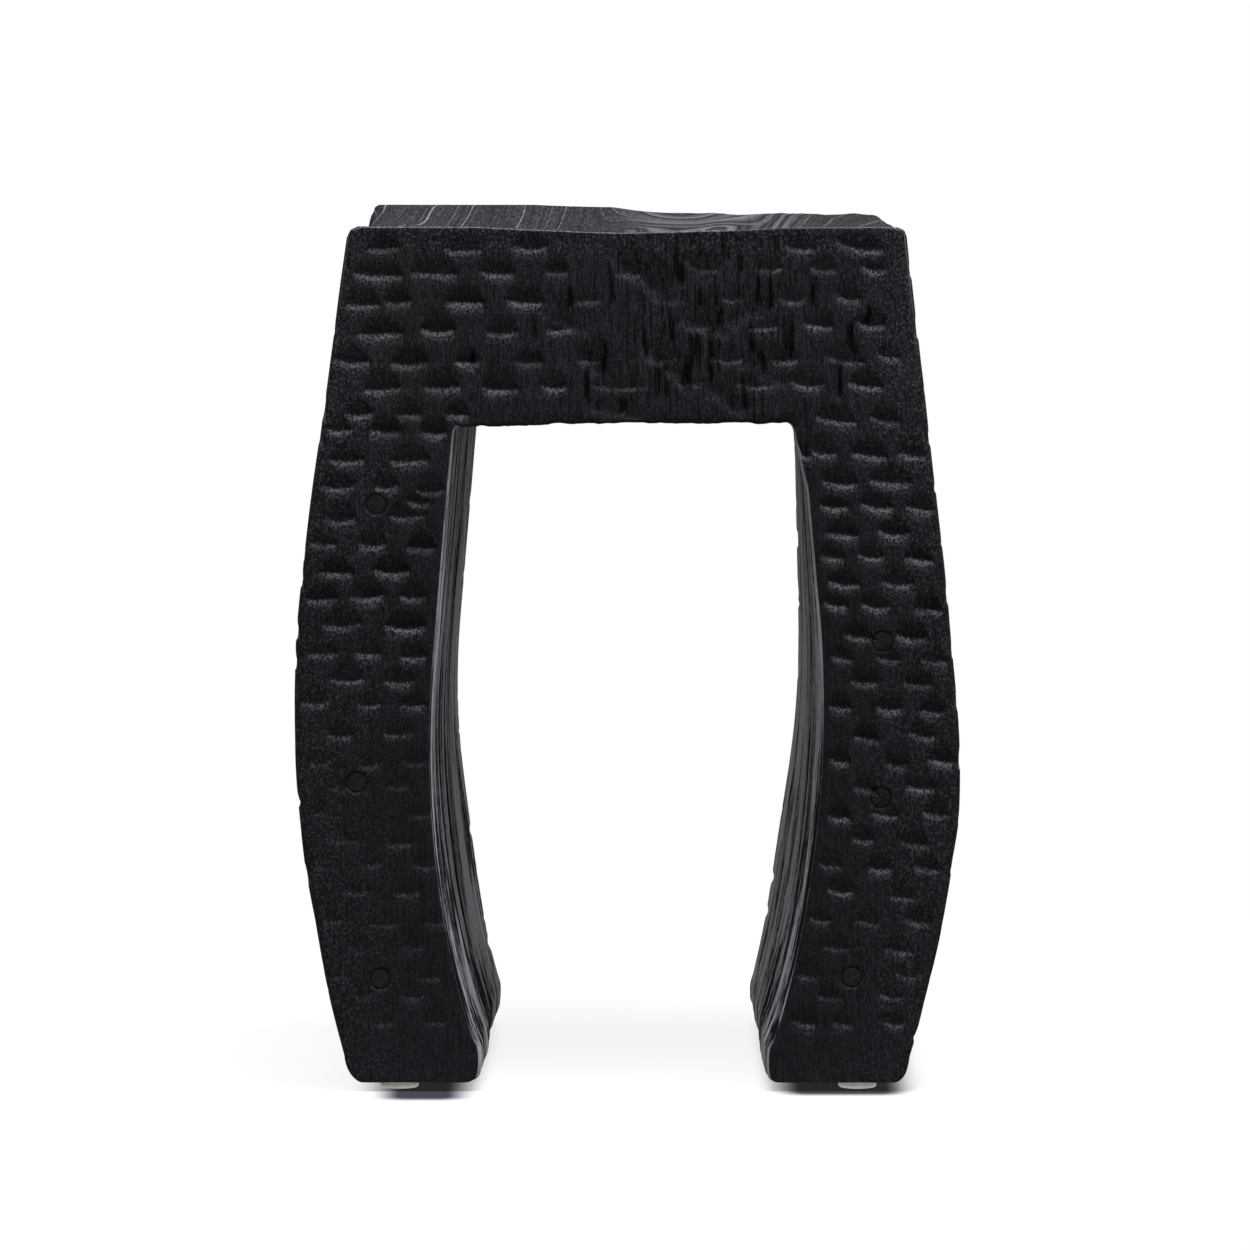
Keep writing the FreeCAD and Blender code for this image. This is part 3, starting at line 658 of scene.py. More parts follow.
class Shader:
    """A material with a Principled surface and short calls for its nodes."""

    def __init__(self, name):
        self.material = bpy.data.materials.new(name)
        self.material.use_nodes = True
        self.tree = self.material.node_tree
        self.surface = self.tree.nodes["Principled BSDF"]

    def node(self, kind, inputs=(), **settings):
        made = self.tree.nodes.new(kind)
        for name, value in settings.items():
            setattr(made, name, value)
        for slot, value in dict(inputs).items():
            self.feed(made.inputs[slot], value)
        return made

    def feed(self, socket, value):
        if isinstance(value, bpy.types.NodeSocket):
            self.tree.links.new(value, socket)
        else:
            socket.default_value = value

    def place(self, scale):
        """Object coordinates, stretched."""
        source = self.node("ShaderNodeTexCoord").outputs["Object"]
        return self.node("ShaderNodeMapping", {"Vector": source, "Scale": scale}).outputs["Vector"]

    def noise(self, vector, scale=1.0, detail=3.0, rough=0.55):
        inputs = {"Vector": vector, "Scale": scale, "Detail": detail, "Roughness": rough}
        return self.node("ShaderNodeTexNoise", inputs).outputs["Fac"]

    def band(self, value, low, high, out_low=0.0, out_high=1.0):
        inputs = {0: value, 1: low, 2: high, 3: out_low, 4: out_high}
        made = self.node("ShaderNodeMapRange", inputs, interpolation_type="SMOOTHSTEP")
        return made.outputs[0]

    def calc(self, kind, a, b, c=None):
        inputs = {0: a, 1: b}
        if c is not None:
            inputs[2] = c
        return self.node("ShaderNodeMath", inputs, operation=kind).outputs[0]

    def blend(self, share, a, b):
        made = self.node("ShaderNodeMix", data_type="RGBA")
        for slot, value in ((0, share), (6, a), (7, b)):
            self.feed(made.inputs[slot], value)
        return made.outputs[2]

    def raise_by(self, height, distance, strength=1.0, under=None):
        inputs = {"Height": height, "Distance": distance, "Strength": strength}
        if under is not None:
            inputs["Normal"] = under
        return self.node("ShaderNodeBump", inputs).outputs["Normal"]


def grey(value):
    """Grey that is bluer the darker it is."""
    return (0.97 * value, 0.99 * value, (1.06 + 0.2 * math.exp(-value / 0.03)) * value, 1.0)


def charred_wood():
    made = Shader("charred_wood")

    def stored(label, output="Fac"):
        return made.node("ShaderNodeAttribute", attribute_name=label).outputs[output]

    def times(*values):
        product = values[0]
        for value in values[1:]:
            product = made.calc("MULTIPLY", product, value)
        return product

    def spread(value, amount, about=0.0):
        """A noise value, scaled about its middle."""
        return made.calc("MULTIPLY_ADD", value, amount, about - 0.5 * amount)

    split = made.node("ShaderNodeSeparateColor", {"Color": stored("zones", "Color")})
    inner, top, strong = split.outputs[0], split.outputs[1], split.outputs[2]
    crest, ring, above, edge = stored("zones", "Alpha"), stored("ring"), stored("lip"), stored("arris")
    made_at = made.node("ShaderNodeTexCoord").outputs["Object"]
    along = made.node("ShaderNodeSeparateXYZ", {0: made_at}).outputs
    across, height = along[0], along[2]
    reach = made.calc("ABSOLUTE", across, 0.0)
    fibre = made.noise(made.place((1150, 1150, 165)), 1.0, 3.0, 0.62)
    strand = made.noise(made.place((480, 480, 26)), 1.0, 2.0, 0.5)
    hair = made.noise(made.place((1000, 1000, 240)), 1.0, 2.0, 0.6)
    pebble = made.noise(made.place((830, 830, 640)), 1.0, 2.0, 0.65)
    cloud = made.noise(made.place((14, 14, 9)), 1.0, 3.0, 0.55)
    patch = made.noise(made.place((42, 42, 42)), 1.0, 2.0, 0.5)
    slit = made.noise(made.place((780, 780, 28)), 1.0, 2.0, 0.55)
    middle = times(
        made.band(height, 0.335, 0.365),
        made.band(made.calc("ABSOLUTE", made.calc("ADD", across, -0.028), 0.0), 0.04, 0.085, 1.0, 0.0),
    )

    # split faces: black, with short fibres, specks and torn slits
    plain = made.blend(made.band(fibre, 0.36, 0.68), grey(0.0025), grey(0.0155))
    plain = made.blend(made.band(strand, 0.45, 0.75, 0.0, 0.3), plain, grey(0.015))
    worn = made.calc("MAXIMUM", made.band(reach, 0.1, 0.16, 0.3, 1.0), made.band(height, 0.425, 0.445))
    plain = made.blend(times(made.band(pebble, 0.5, 0.66), worn), plain, grey(0.055))
    warm = times(made.band(cloud, 0.55, 0.75), 0.35)
    plain = made.blend(warm, plain, (0.0105, 0.0075, 0.0068, 1.0))
    open_slit = times(made.band(slit, 0.57, 0.66), made.band(middle, 0, 1, 0.2, 0.7))
    torn_up = made.calc("ADD", times(stored("tear"), 0.55), spread(slit, 2.4))
    open_slit = made.calc("MAXIMUM", open_slit, times(made.band(torn_up, 0.22, 0.45), stored("tear")))
    plain = made.blend(open_slit, plain, grey(0.0015))
    # Painted shade: the legs are painted darker towards the bottom
    plain = made.blend(made.band(height, 0.24, 0.4, 0.45, 0.0), plain, grey(0.003))

    # lips of the gouge marks: a dark pocket over torn hairs that fade downwards. The pocket is painted
    # shade, partly soot; the torn hairs and the smudge below them are painted pale, partly their own colour
    # and partly painted highlight
    torn = made.calc("ADD", above, spread(hair, 2.8))
    below = made.band(torn, -0.4, 0.5, 1.0, 0.0)
    # Painted shade, with some soot, in the pocket above each lip
    pocket = times(made.band(torn, -0.2, 1.0), made.band(above, 2.5, 8.5, 1.0, 0.0), strong)
    plain = made.blend(times(pocket, 0.5), plain, grey(0.0022))
    kept = times(strong, made.band(patch, 0.3, 0.62, 0.2, 1.0))
    # Painted highlights: a pale smudge below each lip and pale torn hairs on it
    tail = times(made.band(above, -11.0, -1.5), below, kept, made.band(pebble, 0.43, 0.58))
    plain = made.blend(tail, plain, grey(0.06))
    lit = times(made.band(torn, -2.6, -0.8), below, kept, made.band(pebble, 0.42, 0.58))
    plain = made.blend(lit, plain, grey(0.085))

    # tunnel walls: brushed ridges, pale on top; their paleness is partly painted sheen, painted paler still
    # on the upper walls and on the right wall
    streak = made.noise(made.place((100, 100, 4.5)), 1.0, 4.0, 0.6)
    mottle = made.noise(made.place((85, 85, 280)), 1.0, 2.0, 0.6)
    # Painted sheen: the ridges are painted paler on the upper walls, and more on the right wall than on the
    # left
    paler = times(made.band(height, 0.12, 0.22), made.band(across, -0.05, 0.05, 0.16, 0.3))
    ridge = made.calc("ADD", made.calc("ADD", crest, paler), spread(streak, 5.2, 0.1))
    ridge = made.calc("ADD", ridge, made.calc("ADD", spread(fibre, 0.8), spread(mottle, 0.5)))
    raised = made.band(ridge, -0.1, 1.1)
    ridged = made.blend(raised, grey(0.005), grey(0.44))

    # seat: end grain with growth rings, and a band of painted sheen just right of the middle
    def ring_noise(scale, shift):
        vector = made.node("ShaderNodeCombineXYZ", {0: times(ring, scale), 1: shift})
        return made.noise(vector.outputs[0], 1.0, 1.0, 0.5)

    def ring_lines(period, sharp, seed, chosen):
        """Thin lines a period apart; chosen is the share of noise that leaves them out."""
        turned = made.calc("MULTIPLY_ADD", ring, math.tau / period, seed)
        turned = made.calc("ADD", turned, spread(ring_noise(0.11, seed), 7.0))
        line = made.band(made.calc("SINE", turned, 0.0), sharp, 1.0)
        return times(line, made.band(ring_noise(0.6 / period, seed + 5), chosen, chosen + 0.1))

    grain = made.noise(made.place((700, 80, 700)), 1.0, 3.0, 0.7)
    # Painted sheen: in this band the seat is painted pale in patches, and its dark ring lines are stronger
    sheen_band = times(made.band(across, -0.012, 0.02), made.band(across, 0.07, 0.105, 1.0, 0.0))
    ringed = made.blend(made.band(grain, 0.4, 0.64), grey(0.006), grey(0.036))
    sheen = times(sheen_band, made.band(ring_noise(0.24, 9.0), 0.43, 0.57, 0.1, 0.95))
    ringed = made.blend(sheen, ringed, grey(0.12))
    dark_lines = made.calc("MAXIMUM", ring_lines(5.3, 0.75, 1.0, 0.2), ring_lines(2.9, 0.7, 4.0, 0.45))
    ringed = made.blend(times(dark_lines, made.band(sheen_band, 0, 1, 0.4, 0.95)), ringed, grey(0.005))
    pale_lines = made.calc(
        "MAXIMUM", ring_lines(7.1, 0.95, 2.0, 0.47), times(ring_lines(4.3, 0.88, 3.0, 0.45), 0.2)
    )
    pale_lines = times(pale_lines, made.band(sheen_band, 0, 1, 1.0, 0.2), made.band(grain, 0.36, 0.56, 0.4, 1.0))
    ringed = made.blend(pale_lines, ringed, grey(0.2))

    colour = made.blend(made.band(inner, 0.15, 0.85), plain, ridged)
    colour = made.blend(made.band(top, 0.15, 0.7), colour, ringed)
    line = made.band(made.calc("ADD", edge, spread(pebble, 1.3, 0.1)), 0.1, 0.6, 1.0, 0.0)
    line = times(line, made.band(reach, 0.140, 0.152, 1.0, 0.0), made.band(height, 0.03, 0.05))
    under_apron = made.calc("COMPARE", height, 0.345, 0.018)
    line = times(line, made.band(under_apron, 0, 1, 1.0, 0.0))
    colour = made.blend(times(line, 0.75), colour, grey(0.22))
    made.feed(made.surface.inputs["Base Color"], colour)
    made.feed(made.surface.inputs["Roughness"], made.band(fibre, 0.2, 0.8, 0.8, 0.55))
    gloss = made.calc("MULTIPLY_ADD", inner, made.band(raised, 0.0, 1.0, -0.11, 0.55), 0.12)
    gloss = times(gloss, made.band(open_slit, 0.0, 1.0, 1.0, 0.35))
    made.feed(made.surface.inputs["Specular IOR Level"], gloss)
    made.surface.inputs["Specular Tint"].default_value = (0.86, 0.93, 1.0, 1.0)

    fine = made.raise_by(fibre, 0.0006, 0.9)
    rough = made.raise_by(pebble, 0.0007, 0.8, fine)
    hairs = made.raise_by(times(made.band(torn, -2.4, 0.3), strong), -0.0009, 0.8, rough)
    lines = made.raise_by(times(dark_lines, top), -0.0008, 0.8, hairs)
    ridges = made.raise_by(times(streak, inner), 0.002, 0.6, lines)
    slits = made.raise_by(open_slit, -0.0012, 0.8, ridges)
    made.feed(made.surface.inputs["Normal"], made.raise_by(strand, 0.0006, 0.6, slits))
    return made.material


def end_grain(name, dark, light, along):
    """Dowels and pegs: grain lines along them and pores on their ends."""
    made = Shader(name)
    stretch = {"x": (30, 1300, 1300), "y": (1300, 30, 1300)}[along]
    grain = made.noise(made.place(stretch), 1.0, 3.0, 0.6)
    pores = made.node(
        "ShaderNodeTexVoronoi", {"Vector": made.place(stretch), "Scale": 1.4}
    ).outputs["Distance"]
    mottle = made.noise(made.place((240, 240, 240)), 1.0, 3.0, 0.55)
    colour = made.blend(made.band(grain, 0.3, 0.7), dark, light)
    colour = made.blend(made.band(mottle, 0.45, 0.75, 0.0, 0.5), colour, dark)
    pore = (*(0.3 * part for part in dark[:3]), 1.0)
    colour = made.blend(made.band(pores, 0.0, 0.25, 0.6, 0.0), colour, pore)
    made.feed(made.surface.inputs["Base Color"], colour)
    made.feed(made.surface.inputs["Roughness"], made.band(grain, 0.2, 0.8, 0.75, 0.5))
    made.surface.inputs["Specular IOR Level"].default_value = 0.15
    made.feed(
        made.surface.inputs["Normal"], made.raise_by(made.calc("ADD", grain, pores), 0.0003, 0.8)
    )
    return made.material


def moulded(name):
    """Pale nylon with faint flow marks and scuffs."""
    made = Shader(name)
    cloud = made.noise(made.place((180, 180, 180)), 1.0, 3.0, 0.6)
    scuff = made.noise(made.place((2200, 500, 900)), 1.0, 3.0, 0.7)
    colour = made.blend(made.band(cloud, 0.35, 0.7), (0.55, 0.54, 0.5, 1.0), (0.68, 0.67, 0.63, 1.0))
    colour = made.blend(made.band(scuff, 0.62, 0.8, 0.0, 0.45), colour, (0.3, 0.29, 0.27, 1.0))
    made.feed(made.surface.inputs["Base Color"], colour)
    made.feed(made.surface.inputs["Roughness"], made.band(scuff, 0.3, 0.8, 0.38, 0.6))
    made.feed(made.surface.inputs["Normal"], made.raise_by(cloud, 0.0002, 0.5))
    return made.material


def bright_steel(name):
    """Zinc-plated steel with drawing marks and a little staining."""
    made = Shader(name)
    drawn = made.noise(made.place((3000, 3000, 180)), 1.0, 2.0, 0.6)
    stain = made.noise(made.place((500, 500, 500)), 1.0, 3.0, 0.6)
    made.feed(
        made.surface.inputs["Base Color"],
        made.blend(made.band(stain, 0.5, 0.75), (0.46, 0.46, 0.48, 1.0), (0.28, 0.25, 0.22, 1.0)),
    )
    made.surface.inputs["Metallic"].default_value = 1.0
    made.feed(made.surface.inputs["Roughness"], made.band(drawn, 0.3, 0.7, 0.25, 0.45))
    made.feed(made.surface.inputs["Normal"], made.raise_by(drawn, 0.0001, 0.6))
    return made.material


WOOD = charred_wood()
DOWEL_WOOD = end_grain("dowel_wood", (0.0022, 0.002, 0.0023, 1.0), (0.012, 0.0105, 0.0115, 1.0), "y")
PEG_WOOD = end_grain("peg_wood", (0.30, 0.19, 0.10, 1.0), (0.52, 0.37, 0.22, 1.0), "x")
NYLON = moulded("nylon")
STEEL = bright_steel("steel")


# The nine boards, with caps on their seams, bores and holes

RING_STEPS = 32
SEAMS_I = (I_SEAM_L, I_SEAM_R)
COLUMNS = {"left_leg": (0, I_SEAM_L), "apron": (I_SEAM_L, I_SEAM_R), "right_leg": (I_SEAM_R, NI)}
LAYERS = {"front": (0, J_SEAMS[0]), "middle": J_SEAMS, "back": (J_SEAMS[1], NJ)}


def index_of(i, k, j):
    wanted = key(np.asarray(i), np.asarray(k), np.asarray(j))
    return np.searchsorted(keys, wanted)


def path(*stops):
    """Grid indices along straight runs between stops (i, k, j), without the last one."""
    found = []
    for start, end in zip(stops, stops[1:]):
        steps = max(abs(b - a) for a, b in zip(start, end))
        line = [[a + (b - a) * n // steps for a, b in zip(start, end)] for n in range(steps)]
        found += line
    i, k, j = np.array(found).T
    return index_of(i, k, j)


class Board:
    """Collects one board's points and faces."""

    def __init__(self):
        self.extra, self.faces = [], []
        self.count = COUNT

    def add(self, new_points):
        first = self.count
        self.extra.append(np.asarray(new_points, float))
        self.count += len(new_points)
        return np.arange(first, self.count)

    def at(self, index):
        return np.concatenate([points, *self.extra])[index]

    def wall(self, ring_a, ring_b, flip=False):
        strip = np.stack([ring_a, np.roll(ring_a, -1), np.roll(ring_b, -1), ring_b], 1)
        self.faces.append(strip[:, ::-1] if flip else strip)

    def cap(self, loops, outward):
        """Closes a plane that has holes in it."""
        index = np.concatenate(loops)
        where = self.at(index)
        flat = [[Vector(point) for point in self.at(loop)] for loop in loops]
        found = np.array(geometry.tessellate_polygon(flat))
        a, b, c = (where[found[:, n]] for n in range(3))
        turned = (np.cross(b - a, c - a) @ outward) < 0
        found[turned] = found[turned][:, ::-1]
        self.faces.append(index[found])


def fan(ring, tip, flip):
    """Triangles from a ring of points to the point called tip."""
    found = np.stack([ring, np.roll(ring, -1), np.full_like(ring, tip)], 1)
    return found[:, ::-1] if flip else found


def circle(centre, radius, axis, angles=None):
    """Points of a circle about a line along an axis, at even steps if no angles are given."""
    turn = np.arange(RING_STEPS) * math.tau / RING_STEPS if angles is None else angles
    a, b = radius * np.cos(turn), radius * np.sin(turn)
    flat = np.zeros_like(a)
    parts = {"x": (flat, a, b), "y": (a, flat, b), "z": (a, b, flat)}[axis]
    return np.stack(parts, 1) + np.asarray(centre)


def chain(pairs):
    """Orders the directed edges of one closed loop."""
    following = dict(pairs)
    first = next(iter(following))
    found = [first]
    while following[found[-1]] != first:
        found.append(following[found[-1]])
    return np.array(found)


removed = np.zeros(len(quads), bool)
hole_rings = {}


def open_hole(name, where, radius, on_face, axes):
    """Takes quads out of the carved face and draws the edge of the gap to a circle."""
    a, b = axes
    distance = np.hypot(points[:, a] - where[0], points[:, b] - where[1])
    close = on_face & (distance[quads] < radius).any(1)
    removed[close] = True
    inner_quads = quads[close]
    edges = {}
    for quad in inner_quads:
        for start, end in zip(quad, np.roll(quad, -1)):
            if edges.pop((end, start), None) is None:
                edges[(start, end)] = True
    ring = chain(edges.keys())
    spoke = points[ring][:, [a, b]] - np.array(where)
    spoke *= radius / np.linalg.norm(spoke, axis=1)[:, None]
    points[ring, a], points[ring, b] = where[0] + spoke[:, 0], where[1] + spoke[:, 1]
    hole_rings[name] = ring


for name, where in DOWELS.items():
    for face, parts in (("front", FRONT_FACES), ("back", BACK_FACES)):
        open_hole(f"{face}_{name}", where, DOWEL_BORE_R, np.isin(face_of, parts), (0, 2))
for side, glide_x in GLIDES.items():
    for face, sign in FACE_SIGNS.items():
        where = (glide_x, sign * GLIDE_Y)
        open_hole(f"{face}_{side}_nail", where, NAIL_BORE_R, np.isin(face_of, SOLE_FACES), (0, 1))


def ring_angles(ring, where, axes):
    spoke = points[ring][:, list(axes)] - np.array(where)
    return np.arctan2(spoke[:, 1], spoke[:, 0])


def board_faces(layer, column):
    (j0, j1), (i0, i1) = LAYERS[layer], COLUMNS[column]
    in_i = (cell_i >= i0) & (cell_i < i1) | (cell_i == i1) & (i1 == NI)
    in_j = (cell_j >= j0) & (cell_j < j1) | (cell_j == j1) & (j1 == NJ)
    return in_i & in_j


def seam_outline(column, j):
    """The loop of a board's section on a layer seam."""
    i0, i1 = COLUMNS[column]
    if column == "left_leg":
        corners = [(0, 0), (I_IN_L, 0), (I_IN_L, K_MOUTH), (i1, K_MOUTH), (i1, NK), (0, NK), (0, 0)]
    elif column == "apron":
        corners = [(i0, K_MOUTH), (i1, K_MOUTH), (i1, NK), (i0, NK), (i0, K_MOUTH)]
    else:
        corners = [
            (i0, K_MOUTH), (I_IN_R, K_MOUTH), (I_IN_R, 0), (NI, 0), (NI, NK), (i0, NK), (i0, K_MOUTH),
        ]
    loop = []
    for (ia, ka), (ib, kb) in zip(corners, corners[1:]):
        if ia == ib and ia in SEAMS_I:
            loop.append(index_of([ia], [ka], [j]))
        else:
            loop.append(path((ia, ka, j), (ib, kb, j)))
    return np.concatenate(loop)


def side_outline(i, layer):
    j0, j1 = LAYERS[layer]
    loop = [path((i, K_MOUTH, j0), (i, K_MOUTH, j1))]
    if j1 == NJ:
        loop.append(path((i, K_MOUTH, j1), (i, NK, j1)))
    else:
        loop.append(index_of([i], [K_MOUTH], [j1]))
    loop.append(path((i, NK, j1), (i, NK, j0)))
    if j0 == 0:
        loop.append(path((i, NK, 0), (i, K_MOUTH, 0)))
    else:
        loop.append(index_of([i], [NK], [j0]))
    return np.concatenate(loop)


def build_board(layer, column):
    board = Board()
    board.faces.append(quads[board_faces(layer, column) & ~removed])
    (j0, j1), (i0, i1) = LAYERS[layer], COLUMNS[column]
    planes = {0: -HALF_DEPTH, J_SEAMS[0]: SEAMS_Y[0], J_SEAMS[1]: SEAMS_Y[1], NJ: HALF_DEPTH}
    dowels = {name: at for name, at in DOWELS.items() if column == f"{name.split('_')[0]}_leg"}
    holes = {j0: [], j1: []}
    for name, (hole_x, hole_z) in dowels.items():
        rings = {}
        for j in (j0, j1):
            if j in (0, NJ):
                rings[j] = hole_rings[f"{'front' if j == 0 else 'back'}_{name}"]
        angles = None
        for ring in rings.values():
            angles = ring_angles(ring, (hole_x, hole_z), (0, 2))
        for j in (j0, j1):
            if j not in rings:
                where = (hole_x, planes[j], hole_z)
                rings[j] = board.add(circle(where, DOWEL_BORE_R, "y", angles))
                holes[j].append(rings[j])
        strip_a, strip_b = rings[j0], rings[j1]
        across = board.at(strip_a[:2]) - np.array([hole_x, 0, hole_z])
        turning = across[0][0] * across[1][2] - across[0][2] * across[1][0]
        board.wall(strip_a, strip_b, flip=turning < 0)
    for j, outward in ((j0, (0, -1, 0)), (j1, (0, 1, 0))):
        if j in J_SEAMS:
            board.cap([seam_outline(column, j), *holes[j]], np.array(outward))
    for i in (i0, i1):
        if i not in SEAMS_I:
            continue
        plane = -LEFT["seam"] if i == I_SEAM_L else RIGHT["seam"]
        out = 1 if i == i1 else -1
        loops = [side_outline(i, layer)]
        for peg_z in PEG_Z:
            rim = board.add(circle((plane, PEG_Y[layer], peg_z), PEG_BORE_R, "x"))
            end_x = plane - out * (PEG_HALF + PEG_END_GAP)
            end = board.add(circle((end_x, PEG_Y[layer], peg_z), PEG_BORE_R, "x"))
            centre = board.add([(end_x, PEG_Y[layer], peg_z)])
            board.wall(rim, end, flip=out > 0)
            board.faces.append(fan(end, centre[0], flip=out < 0))
            loops.append(rim)
        board.cap(loops, np.array((out, 0, 0)))
    if layer in ("front", "back") and column != "apron":
        side = column.split("_")[0]
        ring = hole_rings[f"{layer}_{side}_nail"]
        where = (GLIDES[side], FACE_SIGNS[layer] * GLIDE_Y)
        angles = ring_angles(ring, where, (0, 1))
        end = board.add(circle((*where, NAIL_BORE_TOP), NAIL_BORE_R, "z", angles))
        tip = board.add([(*where, NAIL_BORE_TOP)])
        turning = np.sin(angles[1] - angles[0])
        board.wall(ring, end, flip=turning > 0)
        board.faces.append(fan(end, tip[0], flip=turning > 0))
    all_points = np.concatenate([points, *board.extra])
    used = np.unique(np.concatenate([np.asarray(part).ravel() for part in board.faces]))
    renumber = np.zeros(len(all_points), int)
    renumber[used] = np.arange(len(used))
    padding = np.zeros((len(all_points) - COUNT, 4))
    board_zones = np.concatenate([zones, padding])[used]
    lines = {}
    for label, values, inside in (
        ("ring", ring_at, 40), ("lip", lip, 9), ("arris", arris, 9), ("tear", tear, 0),
    ):
        lines[label] = np.concatenate([values, np.full(len(padding), float(inside))])[used]
    make_piece(
        f"{layer}_{column}", all_points[used], [renumber[part] for part in board.faces], WOOD,
        {"zones": board_zones, **lines},
    )


for layer in LAYERS:
    for column in COLUMNS:
        build_board(layer, column)


# Dowels, cut off with the carved faces


def dowel_piece(name, where):
    centre_x, centre_z = where
    count = 40
    turn = np.arange(count) * math.tau / count
    verts, rows = [], []

    def rim_depth(face):
        ring = hole_rings[f"{face}_{name}"]
        angles = ring_angles(ring, where, (0, 2))
        order = np.argsort(angles)
        return lambda at: np.interp(at, angles[order], points[ring[order], 1], period=math.tau)

    def add_ring(radius, depth):
        start = sum(len(part) for part in verts)
        angles = turn if radius > 0 else turn[:1]
        ring = np.stack(
            [centre_x + radius * np.cos(angles), depth(angles), centre_z + radius * np.sin(angles)], 1
        )
        verts.append(ring)
        rows.append(np.arange(start, start + len(ring)))

    shares = (0.0, 0.3, 0.55, 0.78, 0.93, 1.0)
    for face, sign in FACE_SIGNS.items():
        rim = rim_depth(face)
        middle = float(np.mean(rim(turn)))
        for share in shares[::-sign]:
            sunk = 0.1 + 0.5 * (share > 0.97)

            def depth(angles, share=share, sunk=sunk):
                rough = 0.12 * noise(angles * 2.1 + 9, angles * 0 + share * 5, 131)
                return middle * (1 - share) + rim(angles) * share - sign * (sunk + rough)

            add_ring(DOWEL_R * share * (1 if share < 1 else 0.985), depth)
        if sign < 0:
            for at in np.linspace(-140, 140, 15):
                add_ring(DOWEL_R - 0.03, lambda angles, at=at: np.full_like(angles, at))
    faces = []
    for a, b in zip(rows, rows[1:]):
        if len(a) == 1:
            faces.append(np.stack([np.full(count, a[0]), b, np.roll(b, -1)], 1))
        elif len(b) == 1:
            faces.append(np.stack([a, np.full(count, b[0]), np.roll(a, -1)], 1))
        else:
            faces.append(np.stack([a, b, np.roll(b, -1), np.roll(a, -1)], 1))
    make_piece(name, np.concatenate(verts), faces, DOWEL_WOOD)


for name, where in DOWELS.items():
    dowel_piece(name, where)


# Turned and fluted small pieces


def lathe(profile, centre, count=48, axis="z", flutes=0):
    """Points and faces of a turned form; profile holds (radius, height)."""
    turn = np.arange(count) * math.tau / count
    verts, rows, start = [], [], 0
    for radius, height in profile:
        reach = np.full(count, radius)
        if flutes and radius > 4.2:
            reach = radius - 0.22 * (0.5 + 0.5 * np.cos(turn * flutes)) ** 2
        a, b = reach * np.cos(turn), reach * np.sin(turn)
        along = np.full(count, height)
        verts.append(np.stack({"z": (a, b, along), "x": (along, a, b)}[axis], 1) + np.asarray(centre))
        rows.append(np.arange(start, start + count))
        start += count
    faces = [np.stack([p, np.roll(p, -1), np.roll(q, -1), q], 1) for p, q in zip(rows, rows[1:])]
    return np.concatenate(verts), faces, rows


def ended(verts, faces, rows, centre_points):
    """Closes both ends of a turned form with fans."""
    for row, end, flip in ((rows[0], 0, True), (rows[-1], 1, False)):
        faces.append(fan(row, len(verts), flip))
        verts = np.concatenate([verts, [centre_points[end]]])
    return verts, faces


def arc(centre_r, centre_z, radius, start, end):
    angles = np.radians(np.linspace(start, end, 6))
    return [(centre_r + radius * math.cos(a), centre_z + radius * math.sin(a)) for a in angles]


for face, sign in FACE_SIGNS.items():
    for side, glide_x in GLIDES.items():
        centre = (glide_x, sign * GLIDE_Y, 0)
        profile = [
            (3.65, 2.6), (3.65, 0.25), (3.9, 0.02), (5.5, 0.0), (6.2, 0.12), (6.9, 0.0), (8.2, 0.0),
            *arc(8.4, 1.6, 1.6, -88, 0), (10.0, 2.6), (9.93, 2.75), (9.93, 3.05), (10.0, 3.2),
            (10.0, 4.0), (9.85, 4.35), (9.5, 4.5), (5.5, 4.5), (1.15, 4.5), (1.15, 2.6), (3.65, 2.6),
        ]
        verts, faces, _ = lathe(profile, centre)
        name = f"{face}_{side}_glide"
        make_piece(name, verts, faces, NYLON)
        nail = [
            (0.4, 1.42), (2.0, 1.45), (3.1, 1.5), (3.5, 1.62), (3.6, 1.85), (3.6, 2.45), (3.45, 2.6),
            (1.25, 2.6), (1.1, 2.75),
        ]
        for n in range(6):
            nail += [(1.1, 3.1 + n * 0.6), (1.02, 3.3 + n * 0.6)]
        nail += [(1.1, 7.0), (1.1, 14.4), (0.55, 15.9), (0.12, 17.2)]
        verts, faces, rows = lathe(nail, centre, 24)
        ends_at = [(centre[0], centre[1], 1.4), (centre[0], centre[1], 17.4)]
        verts, faces = ended(verts, faces, rows, ends_at)
        make_piece(f"{name}_nail", verts, faces, STEEL)

for layer, peg_y in PEG_Y.items():
    for side, plane in (("left", -LEFT["seam"]), ("right", RIGHT["seam"])):
        name = f"{layer}_{side}_pegs"
        all_verts, all_faces, count = [], [], 0
        for peg_z in PEG_Z:
            body = [(3.9, -28.0), (4.6, -27.4), (5.0, -26.4)]
            body += [(5.0, at) for at in np.linspace(-25.5, 25.5, 9)]
            body += [(5.0, 26.4), (4.6, 27.4), (3.9, 28.0)]
            centre = (plane, peg_y, peg_z)
            verts, faces, rows = lathe(body, centre, 80, "x", 20)
            ends_at = [(plane - PEG_HALF, peg_y, peg_z), (plane + PEG_HALF, peg_y, peg_z)]
            verts, faces = ended(verts, faces, rows, ends_at)
            all_faces += [part + count for part in faces]
            all_verts.append(verts)
            count += len(verts)
        make_piece(name, np.concatenate(all_verts), all_faces, PEG_WOOD)


# Floor, light and camera

SKY, BOUNCE = 0.36, 0.26
# Painted shadow: a near-black patch on the floor under each leg, for camera rays only; left and right:
# middle, half width and front edge, then the back edge of both
PATCH_X, PATCH_HALF, PATCH_FRONT, PATCH_BACK = (-0.106, 0.112), (0.008, 0.018), (-0.17, -0.15), 0.148

